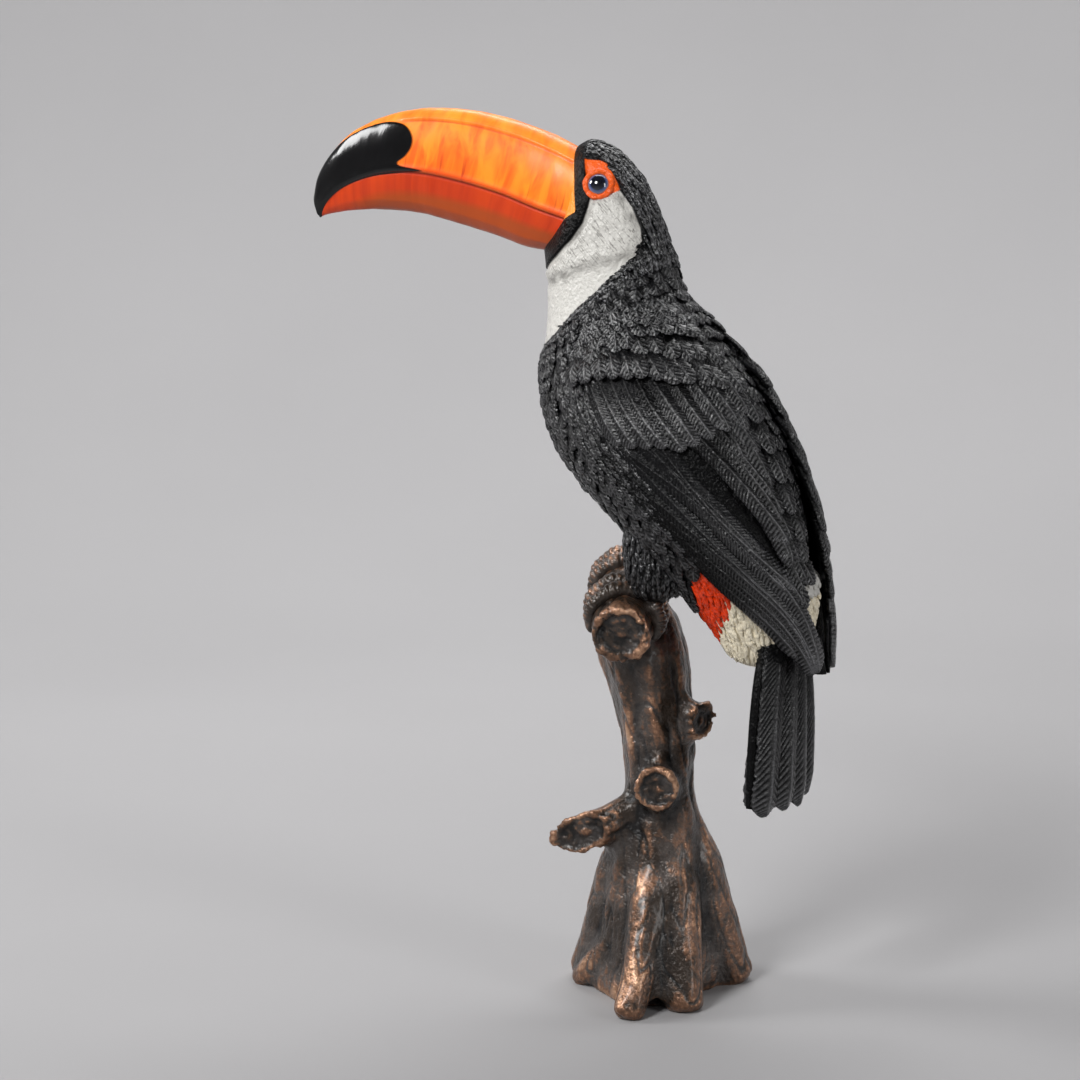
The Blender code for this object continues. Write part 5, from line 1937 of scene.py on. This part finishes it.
@dataclass(frozen=True)
class Studio:
    """The pale round floor, the soft lights and the camera."""

    paper: StudioPaper = field(default_factory=StudioPaper)

    def sweep(self) -> None:
        """A round floor that curves up into a wall on every side."""
        rise = np.linspace(0.05, math.pi / 2, 20)
        out = np.concatenate(((0.3, 1.0), 1.0 + 1.1 * np.sin(rise), (2.1,))) * 1000
        high = np.concatenate(((0.0, 0.0), 1.3 * (1 - np.cos(rise)), (3.2,))) * 1000
        turn = 2 * math.pi * np.arange(96) / 96
        ring = np.stack((np.multiply.outer(out, np.cos(turn)), np.multiply.outer(out, np.sin(turn)),
                         np.repeat(high[:, None], 96, 1)), -1)
        shell = Shell()
        shell.add(np.concatenate((ring.reshape(-1, 3), np.zeros((1, 3)))),
                  [grid_faces(len(out), 96, closed=True), fan_faces(np.arange(96), ring[..., 0].size)])
        shell.build("paper_sweep", self.paper)

    def light(
        self,
        name: str,
        place: tuple[float, float, float],
        size: tuple[float, float],
        power: float,
        aim: tuple[float, float, float] = (0.0, 0.0, 0.28),
    ) -> None:
        """Adds a soft box, which looks at the statue if no other aim is given.

        Args:
            name: The light's name.
            place: Image-right, towards the camera, and up, in metres from the statue.
            size: Its width and height.
            power: Its power in watts.
            aim: What it looks at, given as its place is.
        """
        towards = Vector((CAMERA[0], CAMERA[1], 0)).normalized()
        right = Vector((-towards.y, towards.x, 0))
        up = Vector((0, 0, 1))
        where = right * place[0] + towards * place[1] + up * place[2]
        what = right * aim[0] + towards * aim[1] + up * aim[2]
        data = bpy.data.lights.new(name, "AREA")
        data.shape = "RECTANGLE"
        data.size, data.size_y = size
        data.energy = power
        lamp = bpy.data.objects.new(name, data)
        lamp.location = where
        lamp.rotation_euler = (where - what).to_track_quat("Z", "Y").to_euler()
        bpy.context.scene.collection.objects.link(lamp)

    def build(self) -> None:
        """Sets up the sweep, the lights, the room's glow and the camera."""
        self.sweep()
        lights = (
            ("key", (-0.7, 1.0, 1.25), (0.42, 0.42), 19),
            ("side", (-1.35, -0.2, 1.05), (0.45, 0.45), 12),
            ("fill", (1.3, 0.9, 0.7), (0.35, 0.9), 7),
            ("top", (0.15, -0.7, 1.5), (1.3, 0.4), 14),
            ("backdrop", (0.0, -0.8, 1.3), (1.6, 0.3), 17, (0.0, -2.0, 0.3)),
        )
        for light in lights:
            self.light(*light)
        # The default transform would turn the black and the orange milky.
        bpy.context.scene.view_settings.view_transform = "Standard"
        world = bpy.data.worlds.new("studio")
        bpy.context.scene.world = world
        world.use_nodes = True
        glow = world.node_tree.nodes["Background"]
        glow.inputs["Color"].default_value = hex_colour("#dcdde0")
        glow.inputs["Strength"].default_value = 0.14
        data = bpy.data.cameras.new("camera")
        data.lens = 90
        data.sensor_width = 36
        data.clip_start = 0.05
        camera = bpy.data.objects.new("camera", data)
        camera.location = CAMERA
        # Matched to the photo: 27 degrees behind the bird's left side, level with the statue's top.
        yaw, pitch = math.radians(-150.353), math.radians(-9.094)
        flat = math.cos(pitch)
        ahead = Vector((math.cos(yaw) * flat, math.sin(yaw) * flat, math.sin(pitch)))
        camera.rotation_euler = ahead.to_track_quat("-Z", "Y").to_euler()
        bpy.context.scene.collection.objects.link(camera)
        bpy.context.scene.camera = camera


def main() -> None:
    """Builds the statue's looks round its solids, in order."""
    logging.basicConfig(level=logging.INFO, format="%(message)s")
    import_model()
    Studio().build()
    bird = Bird()
    form = bird.form()
    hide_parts("toucan")
    pieces = [form, bird.head_feathers(), bird.collar(), *bird.scales(), bird.rump(), bird.thighs(),
              bird.eyelids()]
    for side in (1.0, -1.0):
        wing = Wing(side, seed=21 if side > 0 else 25)
        pieces += [wing.coverts(), wing.flight()]
    pieces += [Tail().build(), Bill().build()]
    stump = Stump().build()
    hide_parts("stump")
    feet = Feet().build()
    for piece in (stump, feet):
        pieces.append(piece)
    pieces += bird.eyes()
    for piece in pieces:
        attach(piece, "root")
        faces = sum(len(face.vertices) - 2 for face in piece.data.polygons)
        LOG.info("%s: %d triangles", piece.name, faces)


if __name__ == "__main__":
    main()
